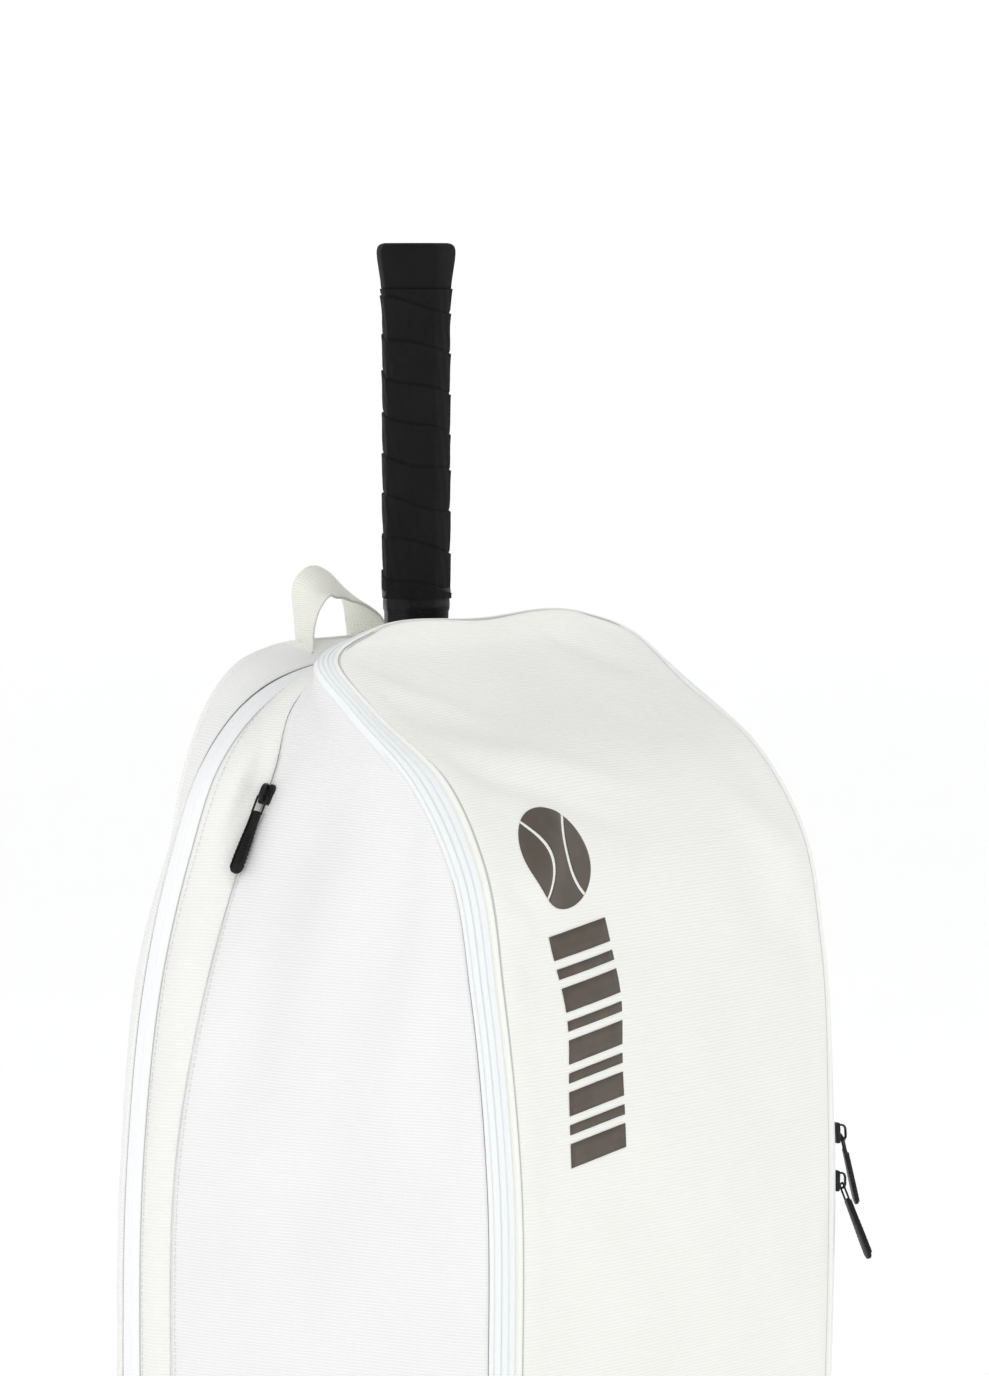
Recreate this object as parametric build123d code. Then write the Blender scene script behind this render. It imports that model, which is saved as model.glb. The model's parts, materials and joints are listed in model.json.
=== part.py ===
from build123d import *
import math
import os

# Racket backpack with one racket, in millimetres.
# +X to the right, +Y towards the wearer's back, +Z up; the origin is at the centre of the base.

# ---- driving dimensions -------------------------------------------------------------------
BASE_FABRIC = 4.0          # thickness of the bottom panel
BOARD = 3.0                # stiffener board inside the base
FABRIC = 4.0               # thickness of gussets and panels, with lining and seam allowance
FLAP_GAP = 1.0             # room between the front flap and the zip tape behind it
SEAM_GAP = 0.3             # room left where two curved pieces only lie side by side
BACK_INSET = 2.5           # room between the rear gusset's seam allowance and the back panel
HINGE_Z = 45.0             # lower edge of the front flap
FRONT_TAPE = 4.0           # visible width of the front zip's tape
RACKET_TAPE = 6.0          # half width of the racket zip's tape
PAD = 6.0                  # thickness of the back pads
STRAP_WIDTH = 56.0
STRAP_THICKNESS = 10.0
WEBBING = 25.0             # width of all narrow webbing
WEBBING_THICKNESS = 2.0

# Arches of the body, each from the base up the side to the middle of the top:
# half width, Y and Z at the base, flap hinge, low, middle, high, shoulder (3), corner, crown, centre.
ARCH_F = [(137, -117, 4), (138, -119, HINGE_Z), (140, -120.5, 120), (141, -120.5, 240), (145, -113, 330),
          (143.5, -101, 390), (139.5, -77, 430), (137.5, -30, 465), (133, -4, 488), (95, 3, 501), (0, 3, 503)]
ARCH_G = [(154, -108, 4), (155, -110, HINGE_Z), (157, -112, 120), (158, -112, 240), (160, -103.5, 330),
          (158, -89.5, 390), (155, -64, 430), (150, -22, 466), (143, 3, 486), (102, 9.5, 498), (0, 10, 500)]
ARCH_D = [(160, 80, 4), (161, 80, HINGE_Z), (163, 80, 120), (163, 75.5, 240), (159, 58, 330),
          (140, 50, 390), (120, 45.5, 430), (100, 45, 459), (82, 31, 467), (46, 25, 474), (0, 23, 477)]
ARCH_B = [(160, 99, 4), (161, 99, HINGE_Z), (163, 99, 120), (164, 95, 240), (160.5, 85, 330),
          (152.5, 73.5, 390), (139, 67.5, 430), (105, 67, 458), (82, 67, 468), (48, 67, 476), (0, 67, 478)]
ARCH_A = [(158, 113, 4), (159, 113, HINGE_Z), (161, 112.5, 120), (162, 108, 240), (159.5, 98, 330),
          (152, 87, 390), (138, 81, 430), (106, 80, 459), (84, 80, 469), (50, 80, 477), (0, 80, 479)]
ARCH_R = [(118, 130, 4), (120, 130, HINGE_Z), (124, 129, 120), (126, 125, 240), (124, 118, 330),
          (120, 110, 390), (115.5, 104, 430), (103, 101, 458), (80, 100, 478), (50, 100, 486), (0, 100, 488)]
# The racket mouth's rear lip leaves arch D at the shoulder and passes behind the handle.
ARCH_REAR_LIP = ARCH_D[:7] + [(100, 50, 459), (82, 58, 467), (46, 63, 474), (0, 64.3, 475)]
# How far the front panel bulges out in the middle of each section of arch F.
CROWN = [0, 0, 6, 9, 8, 6, 4, 3, 1, 0]
HINGE_STATION = 1          # index of the flap's hinge in every arch

# ---- racket -------------------------------------------------------------------------------
RACKET_Y = 44.0            # middle plane of the racket
RACKET_LENGTH = 685.0
RACKET_BASE_Z = 10.0       # lowest point of the racket, just above the base board
HEAD_HALF_WIDTH = 130.0
HEAD_HALF_LENGTH = 172.0
BEAM_WIDTH = 11.0          # width of the frame's tube in the string plane
BEAM_DEPTH = 22.0          # depth of the frame's tube across the string plane
BUMPER = 2.5
GRIP_FLATS = 34.0          # across the flats of the finished grip
PALLET_FLATS = 29.0        # across the flats of the handle under the grip
BUTT_FLATS = 40.0
STRING = 1.3
MAINS = 16
CROSSES = 19

# ---- zip sliders --------------------------------------------------------------------------
SLIDER_LENGTH = 11.0
SLIDER_WIDTH = 8.0
SLIDER_CLEAR = 0.8         # from the tape to the slider's plate
PLATE_TOP = 3.2            # height of the plate's top above the tape
BAIL_TOP = 7.0
LINK_HEIGHT = 4.7          # height of the link's wire above the tape
LINK_AXIS = -1.8           # where the link hangs in the bail, along the zip
LINK_WIRE = 1.0
LINK_HALF_WIDTH = 3.4
LINK_LENGTH = 11.5
GRIP_LAP = 3.0             # how far the grip reaches over the link's lower end
GRIP_LENGTH = 34.0
GRIP_WIDTH = 7.0

os.makedirs("parts", exist_ok=True)


def save(name, shape):
    """Write one node."""
    export_step(shape, f"parts/{name}.step")


def both_sides(arch):
    """The left half of an arch from its base, over the top, and down the right half."""
    left = [Vector(-x, y, z) for x, y, z in arch]
    right = [Vector(x, y, z) for x, y, z in reversed(arch[:-1])]
    return left + right


def inward(arch):
    """Unit vectors across an arch towards its inside, in the XZ plane."""
    points = both_sides(arch)
    result = []
    for index in range(len(points)):
        before = points[max(index - 1, 0)]
        after = points[min(index + 1, len(points) - 1)]
        along = after - before
        result.append(Vector(along.Z, 0, -along.X).normalized())
    return result


def step_towards(edge, goal, distance):
    """An edge beside the given one: each point steps towards the goal edge, at right angles to its own."""
    result = []
    for index, (point, target) in enumerate(zip(edge, goal)):
        along = (edge[min(index + 1, len(edge) - 1)] - edge[max(index - 1, 0)]).normalized()
        towards = target - point
        sideways = towards - along * towards.dot(along)
        result.append(point + sideways.normalized() * min(distance, 0.4 * sideways.length))
    return result


def profile_normal(arch, index):
    """Unit vector across arch F's side view, towards the inside of the bag."""
    _, y0, z0 = arch[max(index - 1, 0)]
    _, y1, z1 = arch[min(index + 1, len(arch) - 2)]
    return Vector(0, z1 - z0, -(y1 - y0)).normalized()


def sections_to_solid(sections):
    """A solid with flat or ruled faces through a row of flat polygons with equal numbers of corners."""
    return Solid.make_loft([Wire.make_polygon(points, close=True) for points in sections], ruled=True)


def strip(edge_a, edge_b, across, first=0, last=None, thickness=FABRIC):
    """A fabric strip between two arches, thickened along the given directions."""
    last = len(edge_a) if last is None else last
    sections = []
    for a, b, n in list(zip(edge_a, edge_b, across))[first:last]:
        sections.append([a, b, b + n * thickness, a + n * thickness])
    return sections_to_solid(sections)


def panel(stations, across, crowns, thickness):
    """A panel from its lowest to its highest cross-section, each straight or crowned outwards."""
    sections = []
    for (x, y, z), n, crown in zip(stations, across, crowns):
        outer = []
        for share in (-1, -0.6, 0, 0.6, 1):
            outer.append(Vector(share * x, y, z) - n * (crown * (1 - share * share)))
        inner = [point + n * thickness for point in reversed(outer)]
        sections.append(outer + inner)
    return sections_to_solid(sections)


# ---- frames of reference along the arches ------------------------------------------------
TOP = len(ARCH_F) - 1
across_bag = inward(ARCH_B)
flap_half = [profile_normal(ARCH_F, index) for index in range(TOP)]
flap_half.append(flap_half[-1])
across_flap = flap_half + flap_half[-2::-1]

edge_f = both_sides(ARCH_F)
edge_g = both_sides(ARCH_G)
edge_d = both_sides(ARCH_D)
edge_lip = both_sides(ARCH_REAR_LIP)
edge_b = both_sides(ARCH_B)
edge_a = both_sides(ARCH_A)
edge_r = both_sides(ARCH_R)
COUNT = len(edge_f)

edge_tape = [g + n * (FABRIC + FLAP_GAP) for g, n in zip(edge_g, across_flap)]
edge_side = []
for point, n, goal in zip(edge_tape, across_flap, edge_d):
    edge_side.append(point + n * min(FRONT_TAPE, 0.35 * (goal - point).length))
edge_racket = step_towards(edge_d, edge_side, RACKET_TAPE)


# ---- base ----------------------------------------------------------------------------------
def footprint(inset):
    """The base outline, drawn in by the given distance."""
    half = [ARCH_F[0], ARCH_G[0], ARCH_D[0], ARCH_B[0], ARCH_A[0], ARCH_R[0]]
    right = [(x, y) for x, y, _ in half]
    left = [(-x, y) for x, y in reversed(right)]
    outline = make_face(Polyline(*right, *left, close=True))
    return offset(outline, -inset) if inset else outline


save("bottom_panel", extrude(footprint(0), BASE_FABRIC))
save("base_board", Pos(0, 0, BASE_FABRIC) * extrude(footprint(9.0), BOARD))

# ---- front flap: crowned panel and the ribbed band that frames it ---------------------------
flap_first = HINGE_STATION
lift = Vector(0, 0, SEAM_GAP)
front_stations = ARCH_F[:TOP]
front_across = flap_half[:TOP]
flap_stations = [(ARCH_F[flap_first][0], ARCH_F[flap_first][1], HINGE_Z + SEAM_GAP)]
flap_stations += list(front_stations[flap_first + 1:])
save("front_panel", panel(flap_stations, front_across[flap_first:], CROWN[flap_first:], FABRIC))

band_f = list(edge_f)
band_g = list(edge_g)
for station in (flap_first, COUNT - 1 - flap_first):
    band_f[station] = band_f[station] + lift
    band_g[station] = band_g[station] + lift
save("front_band", strip(band_f, band_g, across_flap, flap_first, COUNT - flap_first))

# The skirt below the flap: a panel with the band's two lower ends.
skirt = panel(front_stations[:flap_first + 1], front_across, CROWN, FABRIC)
save("front_skirt", skirt)
save("skirt_band_left", strip(edge_f, edge_g, across_flap, 0, flap_first + 1))
save("skirt_band_right", strip(edge_f, edge_g, across_flap, COUNT - 1 - flap_first, COUNT))

# ---- gussets and zip tapes -------------------------------------------------------------------
save("front_zip_tape", strip(edge_tape, edge_side, across_bag))
save("side_gusset", strip(edge_side, edge_racket, across_bag))
save("racket_zip_tape", strip(edge_racket, edge_d, across_bag))
save("middle_gusset", strip(edge_lip, edge_b, across_bag))
save("main_zip_tape", strip(edge_b, edge_a, across_bag))
save("rear_gusset", strip(edge_a, edge_r, across_bag))

# ---- back panel and pads -------------------------------------------------------------------
straight_in = Vector(0, -1, 0)
back_stations = []
for point, n in list(zip(both_sides(ARCH_R), across_bag))[:TOP]:
    shifted = point + n * (FABRIC + BACK_INSET)
    back_stations.append((-shifted.X, shifted.Y, shifted.Z if point.Z > BASE_FABRIC else point.Z))
save("back_panel", panel(back_stations, [straight_in] * TOP, [0] * TOP, FABRIC))


def back_y(z):
    """Y of the back panel's outer face at a height."""
    for (_, y0, z0), (_, y1, z1) in zip(ARCH_R, ARCH_R[1:]):
        if z0 <= z <= z1:
            return y0 + (y1 - y0) * (z - z0) / (z1 - z0)
    return ARCH_R[-1][1]


def back_pad(x_middle, half_width, z_low, z_high):
    """A bevelled foam pad that follows the back panel."""
    heights = [z_low, z_low + PAD] + [z for _, _, z in ARCH_R if z_low + PAD < z < z_high - PAD]
    heights += [z_high - PAD, z_high]
    sections = []
    for index, z in enumerate(heights):
        at_end = index in (0, len(heights) - 1)
        half = half_width - (PAD if at_end else 0)
        depth = PAD * (0.35 if at_end else 1)
        y = back_y(z) + SEAM_GAP
        sections.append([Vector(x_middle - half, y, z), Vector(x_middle - half + depth, y + depth, z),
                         Vector(x_middle + half - depth, y + depth, z), Vector(x_middle + half, y, z)])
    return sections_to_solid(sections)


for side, name in ((-1, "left"), (1, "right")):
    save(f"back_pad_{name}", back_pad(side * 58, 38, 150, 415))
save("lumbar_pad", back_pad(0, 92, 40, 132))


# ---- inner dividers ------------------------------------------------------------------------
def divider(y, thickness, inset, top):
    """A flat padded divider that fits inside the gussets."""
    half = [(x - inset, z) for x, _, z in ARCH_D if z + inset < top and x > inset]
    right = [(half[0][0], BASE_FABRIC + BOARD)] + half[1:]
    z_last = right[-1][1]
    right += [(right[-1][0] - 14, min(top, z_last + 14))]
    left = [(-x, z) for x, z in reversed(right)]
    return extrude(Plane.XZ.offset(-y) * make_face(Polyline(*right, *left, close=True)), -thickness)


save("front_divider", divider(11.0, 3.0, 12.0, 440))
save("rear_divider", divider(67.5, 3.0, 12.0, 446))


# ---- webbing, haul loop and shoulder straps --------------------------------------------------
def band_along(route, half_width, thickness, wide=Vector(1, 0, 0)):
    """A flat band along hand-set points; its width runs along a fixed direction."""
    points = [Vector(*p) for p in route]
    sections = []
    for index, point in enumerate(points):
        along = points[min(index + 1, len(points) - 1)] - points[max(index - 1, 0)]
        normal = along.cross(wide).normalized()
        out = normal * (thickness / 2)
        sections.append([point - wide * half_width - out, point + wide * half_width - out,
                         point + wide * half_width + out, point - wide * half_width + out])
    return sections_to_solid(sections)


# The haul loop stands on the top seam, between the rear gusset and the back panel.
LOOP_Y = 90.0
LOOP = [(-25, 487), (-26, 500), (-22, 515), (-8, 528), (8, 528), (22, 515), (26, 500), (25, 487)]
loop_route = [(x, LOOP_Y, z) for x, z in LOOP]
save("haul_loop", band_along(loop_route, WEBBING / 2, WEBBING_THICKNESS, Vector(0, 1, 0)))

STRAP = [(38, 109, 462), (42, 115.5, 440), (52, 122, 400), (64, 130, 340), (73, 137, 280), (78, 139, 225)]
LOWER_WEB = [(80, 139, 196), (94, 140, 150), (108, 139, 100), (118, 137, 64)]
TAIL_WEB = [(76, 145, 200), (78, 146, 160), (80, 145, 120)]

for side, name in ((-1, "left"), (1, "right")):
    def mirrored(route):
        return [(side * x, y, z) for x, y, z in route]

    save(f"shoulder_strap_{name}", band_along(mirrored(STRAP), STRAP_WIDTH / 2, STRAP_THICKNESS))
    anchor = Pos(side * 38, 105.5, 470) * Box(STRAP_WIDTH + 6, 3.0, 14)
    save(f"strap_anchor_{name}", anchor)
    save(f"strap_webbing_{name}", band_along(mirrored(LOWER_WEB), WEBBING / 2, WEBBING_THICKNESS))
    save(f"strap_tail_{name}", band_along(mirrored(TAIL_WEB), WEBBING / 2, WEBBING_THICKNESS))
    # Ladder-lock buckle: a plate with two slots.
    buckle = Box(34, 5, 26) - Pos(0, 0, 6.5) * Box(26, 6, 3.5) - Pos(0, 0, -6.5) * Box(26, 6, 3.5)
    save(f"ladder_lock_{name}", Pos(side * 79, 139, 211) * buckle)
    # Triangular fabric wing that holds the webbing at the lower corner.
    wing_points = [Vector(side * 104, 0, 60), Vector(side * 132, 0, 60), Vector(side * 128, 0, 22)]
    wing = extrude(make_face(Polyline(*wing_points, close=True)), 3.0, dir=(0, 1, 0))
    save(f"strap_wing_{name}", Pos(0, 135.8, 0) * wing)


# ---- zip sliders and pulls -------------------------------------------------------------------
def tilted(origin, along, outward, angle, lean):
    """The link's own plane: the slider's plane turned in the plane of the tape, then leaned outwards."""
    base = Plane(origin=origin, x_dir=outward, z_dir=along)
    turned = base.location * Pos(0, 0, LINK_AXIS) * Rot(X=angle)
    return turned * Pos(LINK_HEIGHT, 0, 0) * Rot(Y=-lean) * Pos(-LINK_HEIGHT, 0, -LINK_AXIS)


def box_between(u, v, w):
    """A box from ranges along the outward, across and along directions."""
    size = [high - low for low, high in (u, v, w)]
    middle = [(high + low) / 2 for low, high in (u, v, w)]
    return Pos(*middle) * Box(*size)


def slider_body():
    """Plate with a bail over its middle; the link hangs in the bail."""
    half = SLIDER_LENGTH / 2
    plate = box_between((SLIDER_CLEAR, PLATE_TOP), (-SLIDER_WIDTH / 2, SLIDER_WIDTH / 2), (-half, half))
    plate = chamfer(plate.edges().filter_by(Axis.X), 1.6)
    bail = box_between((PLATE_TOP, BAIL_TOP), (-1.2, 1.2), (-4.1, 4.1))
    window = box_between((PLATE_TOP, BAIL_TOP - 1), (-2, 2), (-3.1, 3.1))
    return plate + (bail - window)


def pull_link():
    """A rectangular loop of round wire; its top bar is the pull's pivot."""
    long_side = LINK_LENGTH - LINK_WIRE
    centre = Plane(origin=(LINK_HEIGHT, 0, LINK_AXIS - long_side / 2), x_dir=(0, 1, 0), z_dir=(1, 0, 0))
    path = (centre * RectangleRounded(2 * LINK_HALF_WIDTH, long_side, 1.2)).wire()
    section = Plane(origin=path @ 0, z_dir=path % 0) * Circle(LINK_WIRE / 2)
    return sweep(section, path=path)


def pull_grip():
    """A moulded grip that holds the link's lower bar."""
    top = LINK_AXIS - LINK_LENGTH + GRIP_LAP
    grip = box_between((LINK_HEIGHT - 1.1, LINK_HEIGHT + 1.5), (-GRIP_WIDTH / 2, GRIP_WIDTH / 2),
                       (top - GRIP_LENGTH, top))
    grip = chamfer(grip.edges().filter_by(Axis.X), 1.5)
    return grip - pull_link()


def add_slider(name, origin, along, outward, tilt, lean=0):
    along = Vector(*along).normalized()
    outward = Vector(*outward)
    outward = (outward - along * outward.dot(along)).normalized()
    place = Plane(origin=origin, x_dir=outward, z_dir=along).location
    hang = tilted(origin, along, outward, tilt, lean)
    save(f"{name}_slider", place * slider_body())
    save(f"{name}_link", hang * pull_link())
    save(f"{name}_grip", hang * pull_grip())
    axis = -Vector(*(hang * Pos(0, 1, 0)).position) + Vector(*hang.position)
    pivot = (hang * Pos(LINK_HEIGHT, 0, LINK_AXIS)).position
    print(name, "pivot", [round(v / 1000, 5) for v in pivot],
          "hinge axis", [round(v, 4) for v in axis], "along", [round(v, 4) for v in along])


def middle_of(edge_one, edge_two, station, share_to_next):
    """A point on the centre line of a strip, between one station and the next."""
    here = (edge_one[station] + edge_two[station]) * 0.5
    there = (edge_one[station + 1] + edge_two[station + 1]) * 0.5
    return here + (there - here) * share_to_next, there - here


RIGHT = COUNT - 1          # right-hand stations count down from here
for side, label in ((-1, "left"), (1, "right")):
    station = 5 if side < 0 else RIGHT - 6
    share = 0.7 if side < 0 else 0.3
    point, run = middle_of(edge_racket, edge_lip, station, share)
    up = run if side < 0 else -run
    clear = Vector(side * 0.7, 0, 0.2)          # keeps the plate off the gusset beside the tape
    add_slider(f"racket_zip_{label}", point + clear, up, (side * 0.95, -0.05, 0.3), 0)

# Each pair is parked on a nearly straight stretch; its station and share for the upper and lower slider.
# The front pair straddles the slit at the band's outer edge, and its pulls stand off the corner.
ZIP_PAIRS = (("front_zip", edge_g, edge_g, (0.75, -0.66, 0), (RIGHT - 3, 0.1), (RIGHT - 3, 0.31), 15),
             ("main_zip", edge_b, edge_a, (1, 0.12, 0), (RIGHT - 4, 0.89), (RIGHT - 3, 0.11), 0))
for zip_name, one, two, outward, upper_place, lower_place, lean in ZIP_PAIRS:
    upper, _ = middle_of(one, two, *upper_place)
    lower, run_down = middle_of(one, two, *lower_place)
    way_up, _ = middle_of(one, two, RIGHT - 4, 0.3)
    add_slider(f"{zip_name}_upper", upper, way_up - upper, outward, 24, lean)
    add_slider(f"{zip_name}_lower", lower, -run_down, outward, -24, lean)


# ---- racket ---------------------------------------------------------------------------------
racket_plane = Plane.XZ.offset(-RACKET_Y)
head_z = RACKET_BASE_Z + BUMPER + HEAD_HALF_LENGTH
SHAFT_Z = 455.0            # where the two throat arms meet
COLLAR_Z = 497.0
GRIP_Z = 512.0
BUTT_Z = 671.0
TIP_Z = RACKET_BASE_Z + RACKET_LENGTH


def flat_ellipse(half_width, half_length):
    return Pos(0, head_z) * Ellipse(half_width, half_length)


def centred(sketch, depth):
    """A solid of the given depth on both sides of the racket's middle plane."""
    return extrude(racket_plane * sketch, depth / 2, both=True)


outer_head = flat_ellipse(HEAD_HALF_WIDTH, HEAD_HALF_LENGTH)
inner_head = flat_ellipse(HEAD_HALF_WIDTH - BEAM_WIDTH, HEAD_HALF_LENGTH - BEAM_WIDTH)
arms = make_face(Polyline((-78, head_z + 138), (-14, SHAFT_Z + 12), (-13, COLLAR_Z), (13, COLLAR_Z),
                          (14, SHAFT_Z + 12), (78, head_z + 138), close=True))
throat = make_face(Polyline((-58, head_z + 138), (0, SHAFT_Z - 6), (58, head_z + 138), close=True))
throat = throat - outer_head
save("racket_frame", centred(outer_head + arms - inner_head - throat, BEAM_DEPTH))

half_plane = Pos(0, head_z - HEAD_HALF_LENGTH) * Rectangle(400, HEAD_HALF_LENGTH * 1.3)
guard_outer = flat_ellipse(HEAD_HALF_WIDTH + BUMPER, HEAD_HALF_LENGTH + BUMPER)
save("bumper_guard", centred((guard_outer - outer_head) & half_plane, 12.0))

# The string bed: mains and crosses woven into one net inside the head.
def half_chord(offset_along, half_across, half_along):
    return half_across * math.sqrt(1 - (offset_along / half_along) ** 2)


bed_half_width = HEAD_HALF_WIDTH - BEAM_WIDTH
bed_half_length = HEAD_HALF_LENGTH - BEAM_WIDTH
net = None
for index in range(MAINS):
    x = (index - (MAINS - 1) / 2) * 12.6
    reach = half_chord(x, bed_half_length, bed_half_width) - 2 * STRING
    string = Pos(x, head_z) * Rectangle(STRING, 2 * reach)
    net = string if net is None else net + string
for index in range(CROSSES):
    z = (index - (CROSSES - 1) / 2) * 15.2
    reach = half_chord(z, bed_half_width, bed_half_length) - 2 * STRING
    net = net + Pos(0, head_z + z) * Rectangle(2 * reach, STRING)
save("string_bed", centred(net, STRING))


def octagon(flats):
    return RegularPolygon(flats / 2, 8, major_radius=False, rotation=22.5)


def octagon_tube(z_low, z_high, outside, inside):
    ring = octagon(outside) - octagon(inside)
    return Pos(0, RACKET_Y, z_low) * extrude(ring, z_high - z_low)


pallet = Pos(0, RACKET_Y, COLLAR_Z) * extrude(octagon(PALLET_FLATS), TIP_Z - 4 - COLLAR_Z)
save("handle_pallet", pallet)
save("grip_collar", octagon_tube(COLLAR_Z, GRIP_Z, 33.0, PALLET_FLATS))
save("overgrip", octagon_tube(GRIP_Z, BUTT_Z, GRIP_FLATS, PALLET_FLATS))
butt_low = Pos(0, RACKET_Y, BUTT_Z) * octagon(GRIP_FLATS + 1)
butt_high = Pos(0, RACKET_Y, TIP_Z - 6) * octagon(BUTT_FLATS)
butt = loft([butt_low.face(), butt_high.face()], ruled=True)
butt += Pos(0, RACKET_Y, TIP_Z - 6) * extrude(octagon(BUTT_FLATS), 6)
save("butt_cap", butt - pallet)
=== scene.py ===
import json
import math

import bpy
import numpy as np
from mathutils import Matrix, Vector


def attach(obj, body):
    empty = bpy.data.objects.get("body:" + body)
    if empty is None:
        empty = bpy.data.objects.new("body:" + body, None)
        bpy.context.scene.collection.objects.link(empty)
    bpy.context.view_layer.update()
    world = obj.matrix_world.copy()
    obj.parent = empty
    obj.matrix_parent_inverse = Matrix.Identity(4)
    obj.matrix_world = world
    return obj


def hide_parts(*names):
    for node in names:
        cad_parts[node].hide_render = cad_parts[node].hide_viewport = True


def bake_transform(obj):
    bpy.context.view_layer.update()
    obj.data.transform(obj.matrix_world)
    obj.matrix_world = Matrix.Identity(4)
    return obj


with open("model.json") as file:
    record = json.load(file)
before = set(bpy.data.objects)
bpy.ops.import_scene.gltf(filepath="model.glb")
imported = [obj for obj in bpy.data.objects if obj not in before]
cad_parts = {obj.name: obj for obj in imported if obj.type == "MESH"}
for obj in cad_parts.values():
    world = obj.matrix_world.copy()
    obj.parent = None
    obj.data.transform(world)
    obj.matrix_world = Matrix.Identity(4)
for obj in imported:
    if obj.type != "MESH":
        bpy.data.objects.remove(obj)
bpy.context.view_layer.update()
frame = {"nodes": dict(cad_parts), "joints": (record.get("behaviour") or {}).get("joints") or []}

# Racket backpack: fabric, zips, straps and one racket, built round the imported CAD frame.
# Lengths in this script are millimetres until a mesh is made; MM turns them into metres.

MM = 0.001
scene = bpy.context.scene

# ---- arches of the bag, as (half width, Y, Z) from the base up the side to the middle of the top
# F edges the front panel, G is the band's outer edge, D the rear edge of the side gusset, LIP the far lip of
# the racket zip, B and A the edges of the main zip, and R edges the back panel.
TOP = 10                   # station at the middle of the top
ARCH_F = [(137, -117, 4), (138, -119, 45), (140, -120.5, 120), (141, -120.5, 240), (145, -113, 330),
          (143.5, -101, 390), (139.5, -77, 430), (137.5, -30, 465), (133, -4, 488), (95, 3, 501), (0, 3, 503)]
ARCH_G = [(154, -108, 4), (155, -110, 45), (157, -112, 120), (158, -112, 240), (160, -103.5, 330),
          (158, -89.5, 390), (155, -64, 430), (150, -22, 466), (143, 3, 486), (102, 9.5, 498), (0, 10, 500)]
ARCH_D = [(160, 80, 4), (161, 80, 45), (163, 80, 120), (163, 75.5, 240), (159, 58, 330),
          (140, 50, 390), (120, 45.5, 430), (102, 48, 461), (85, 44, 476), (52, 25, 480), (0, 21, 481)]
ARCH_LIP = ARCH_D[:7] + [(102, 48.3, 461), (85, 46, 475.5), (50, 60, 479), (0, 63, 479)]
ARCH_B = [(160, 99, 4), (161, 99, 45), (163, 99, 120), (164, 95, 240), (160.5, 85, 330),
          (152.5, 73.5, 390), (139, 67.5, 430), (105, 67, 458), (82, 67, 468), (48, 67, 476), (0, 67, 478)]
ARCH_A = [(158, 113, 4), (159, 113, 45), (161, 112.5, 120), (162, 108, 240), (159.5, 98, 330),
          (152, 87, 390), (138, 81, 430), (106, 80, 459), (84, 80, 469), (50, 80, 477), (0, 80, 479)]
ARCH_R = [(118, 130, 4), (120, 130, 45), (124, 129, 120), (126, 125, 240), (124, 118, 330),
          (120, 110, 390), (115.5, 104, 430), (103, 101, 458), (80, 100, 478), (50, 100, 486), (0, 100, 488)]
CROWN = [0, 0, 6, 9, 8, 6, 4, 3, 1, 0, 0]              # how far the front panel's middle stands out there
SAMPLES = [8, 16, 28, 22, 16, 12, 12, 12, 12, 20]      # mesh rows between the stations


def make_stations():
    """The station value of every mesh row, from the left base over the top to the right base."""
    half = []
    for index, count in enumerate(SAMPLES):
        half += [index + step / count for step in range(count)]
    half.append(TOP)
    return np.array(half + [2 * TOP - value for value in reversed(half[:-1])])


STATION = make_stations()
ROW = {station: int(np.argmin(abs(STATION - station))) for station in range(2 * TOP + 1)}


def spline(points, values):
    """A smooth curve through points, at fractional index values; it never bulges far between them."""
    p = np.array(points, float)
    length = np.linalg.norm(np.diff(p, axis=0), axis=1)[:, None]
    slope = np.diff(p, axis=0) / length
    tangent = np.empty_like(p)
    tangent[0] = slope[0]
    tangent[-1] = slope[-1]
    tangent[1:-1] = (slope[:-1] * length[1:] + slope[1:] * length[:-1]) / (length[:-1] + length[1:])
    index = np.minimum(np.floor(values).astype(int), len(p) - 2)
    t = (np.asarray(values) - index)[:, None]
    reach = length[index]
    return ((2 * t**3 - 3 * t**2 + 1) * p[index] + (t**3 - 2 * t**2 + t) * reach * tangent[index]
            + (3 * t**2 - 2 * t**3) * p[index + 1] + (t**3 - t**2) * reach * tangent[index + 1])


def smooth_arch(arch):
    left = [(-x, y, z) for x, y, z in arch]
    right = [(x, y, z) for x, y, z in reversed(arch[:-1])]
    return spline(left + right, STATION)


def unit(v):
    return v / np.maximum(np.linalg.norm(v, axis=-1, keepdims=True), 1e-9)


def smoothstep(low, high, value):
    t = np.clip((value - low) / (high - low), 0, 1)
    return t * t * (3 - 2 * t)


def hump(value, middle, width):
    return np.exp(-((value - middle) / width) ** 2)


def between(edge_one, edge_two, shares):
    """A grid of points between two edges; shares run from 0 on the first to 1 on the second."""
    s = np.asarray(shares)[None, :, None]
    return edge_one[:, None, :] * (1 - s) + edge_two[:, None, :] * s


def grid_normals(grid):
    across = np.cross(np.gradient(grid, axis=0), np.gradient(grid, axis=1))
    return unit(across)


def lifted(grid, height):
    """The grid with every point moved along its normal, outwards."""
    return grid + grid_normals(grid) * height[..., None]


def waves(grid, seed, size):
    """Smooth irregular heights from -1 to 1 over a grid, about size mm from crest to crest."""
    rng = np.random.default_rng(seed)
    total = np.zeros(grid.shape[:2])
    for _ in range(14):
        direction = unit(rng.normal(size=3))
        turn = rng.uniform(0, 2 * math.pi)
        total += np.sin(grid @ direction * (2 * math.pi / (size * rng.uniform(0.7, 1.6))) + turn)
    return total / 5.0


# ---- materials
def colour(rgb):
    """A linear colour from sRGB values of 0 to 255."""
    parts = [value / 255 for value in rgb]
    return [c / 12.92 if c <= 0.04045 else ((c + 0.055) / 1.055) ** 2.4 for c in parts] + [1.0]


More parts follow.
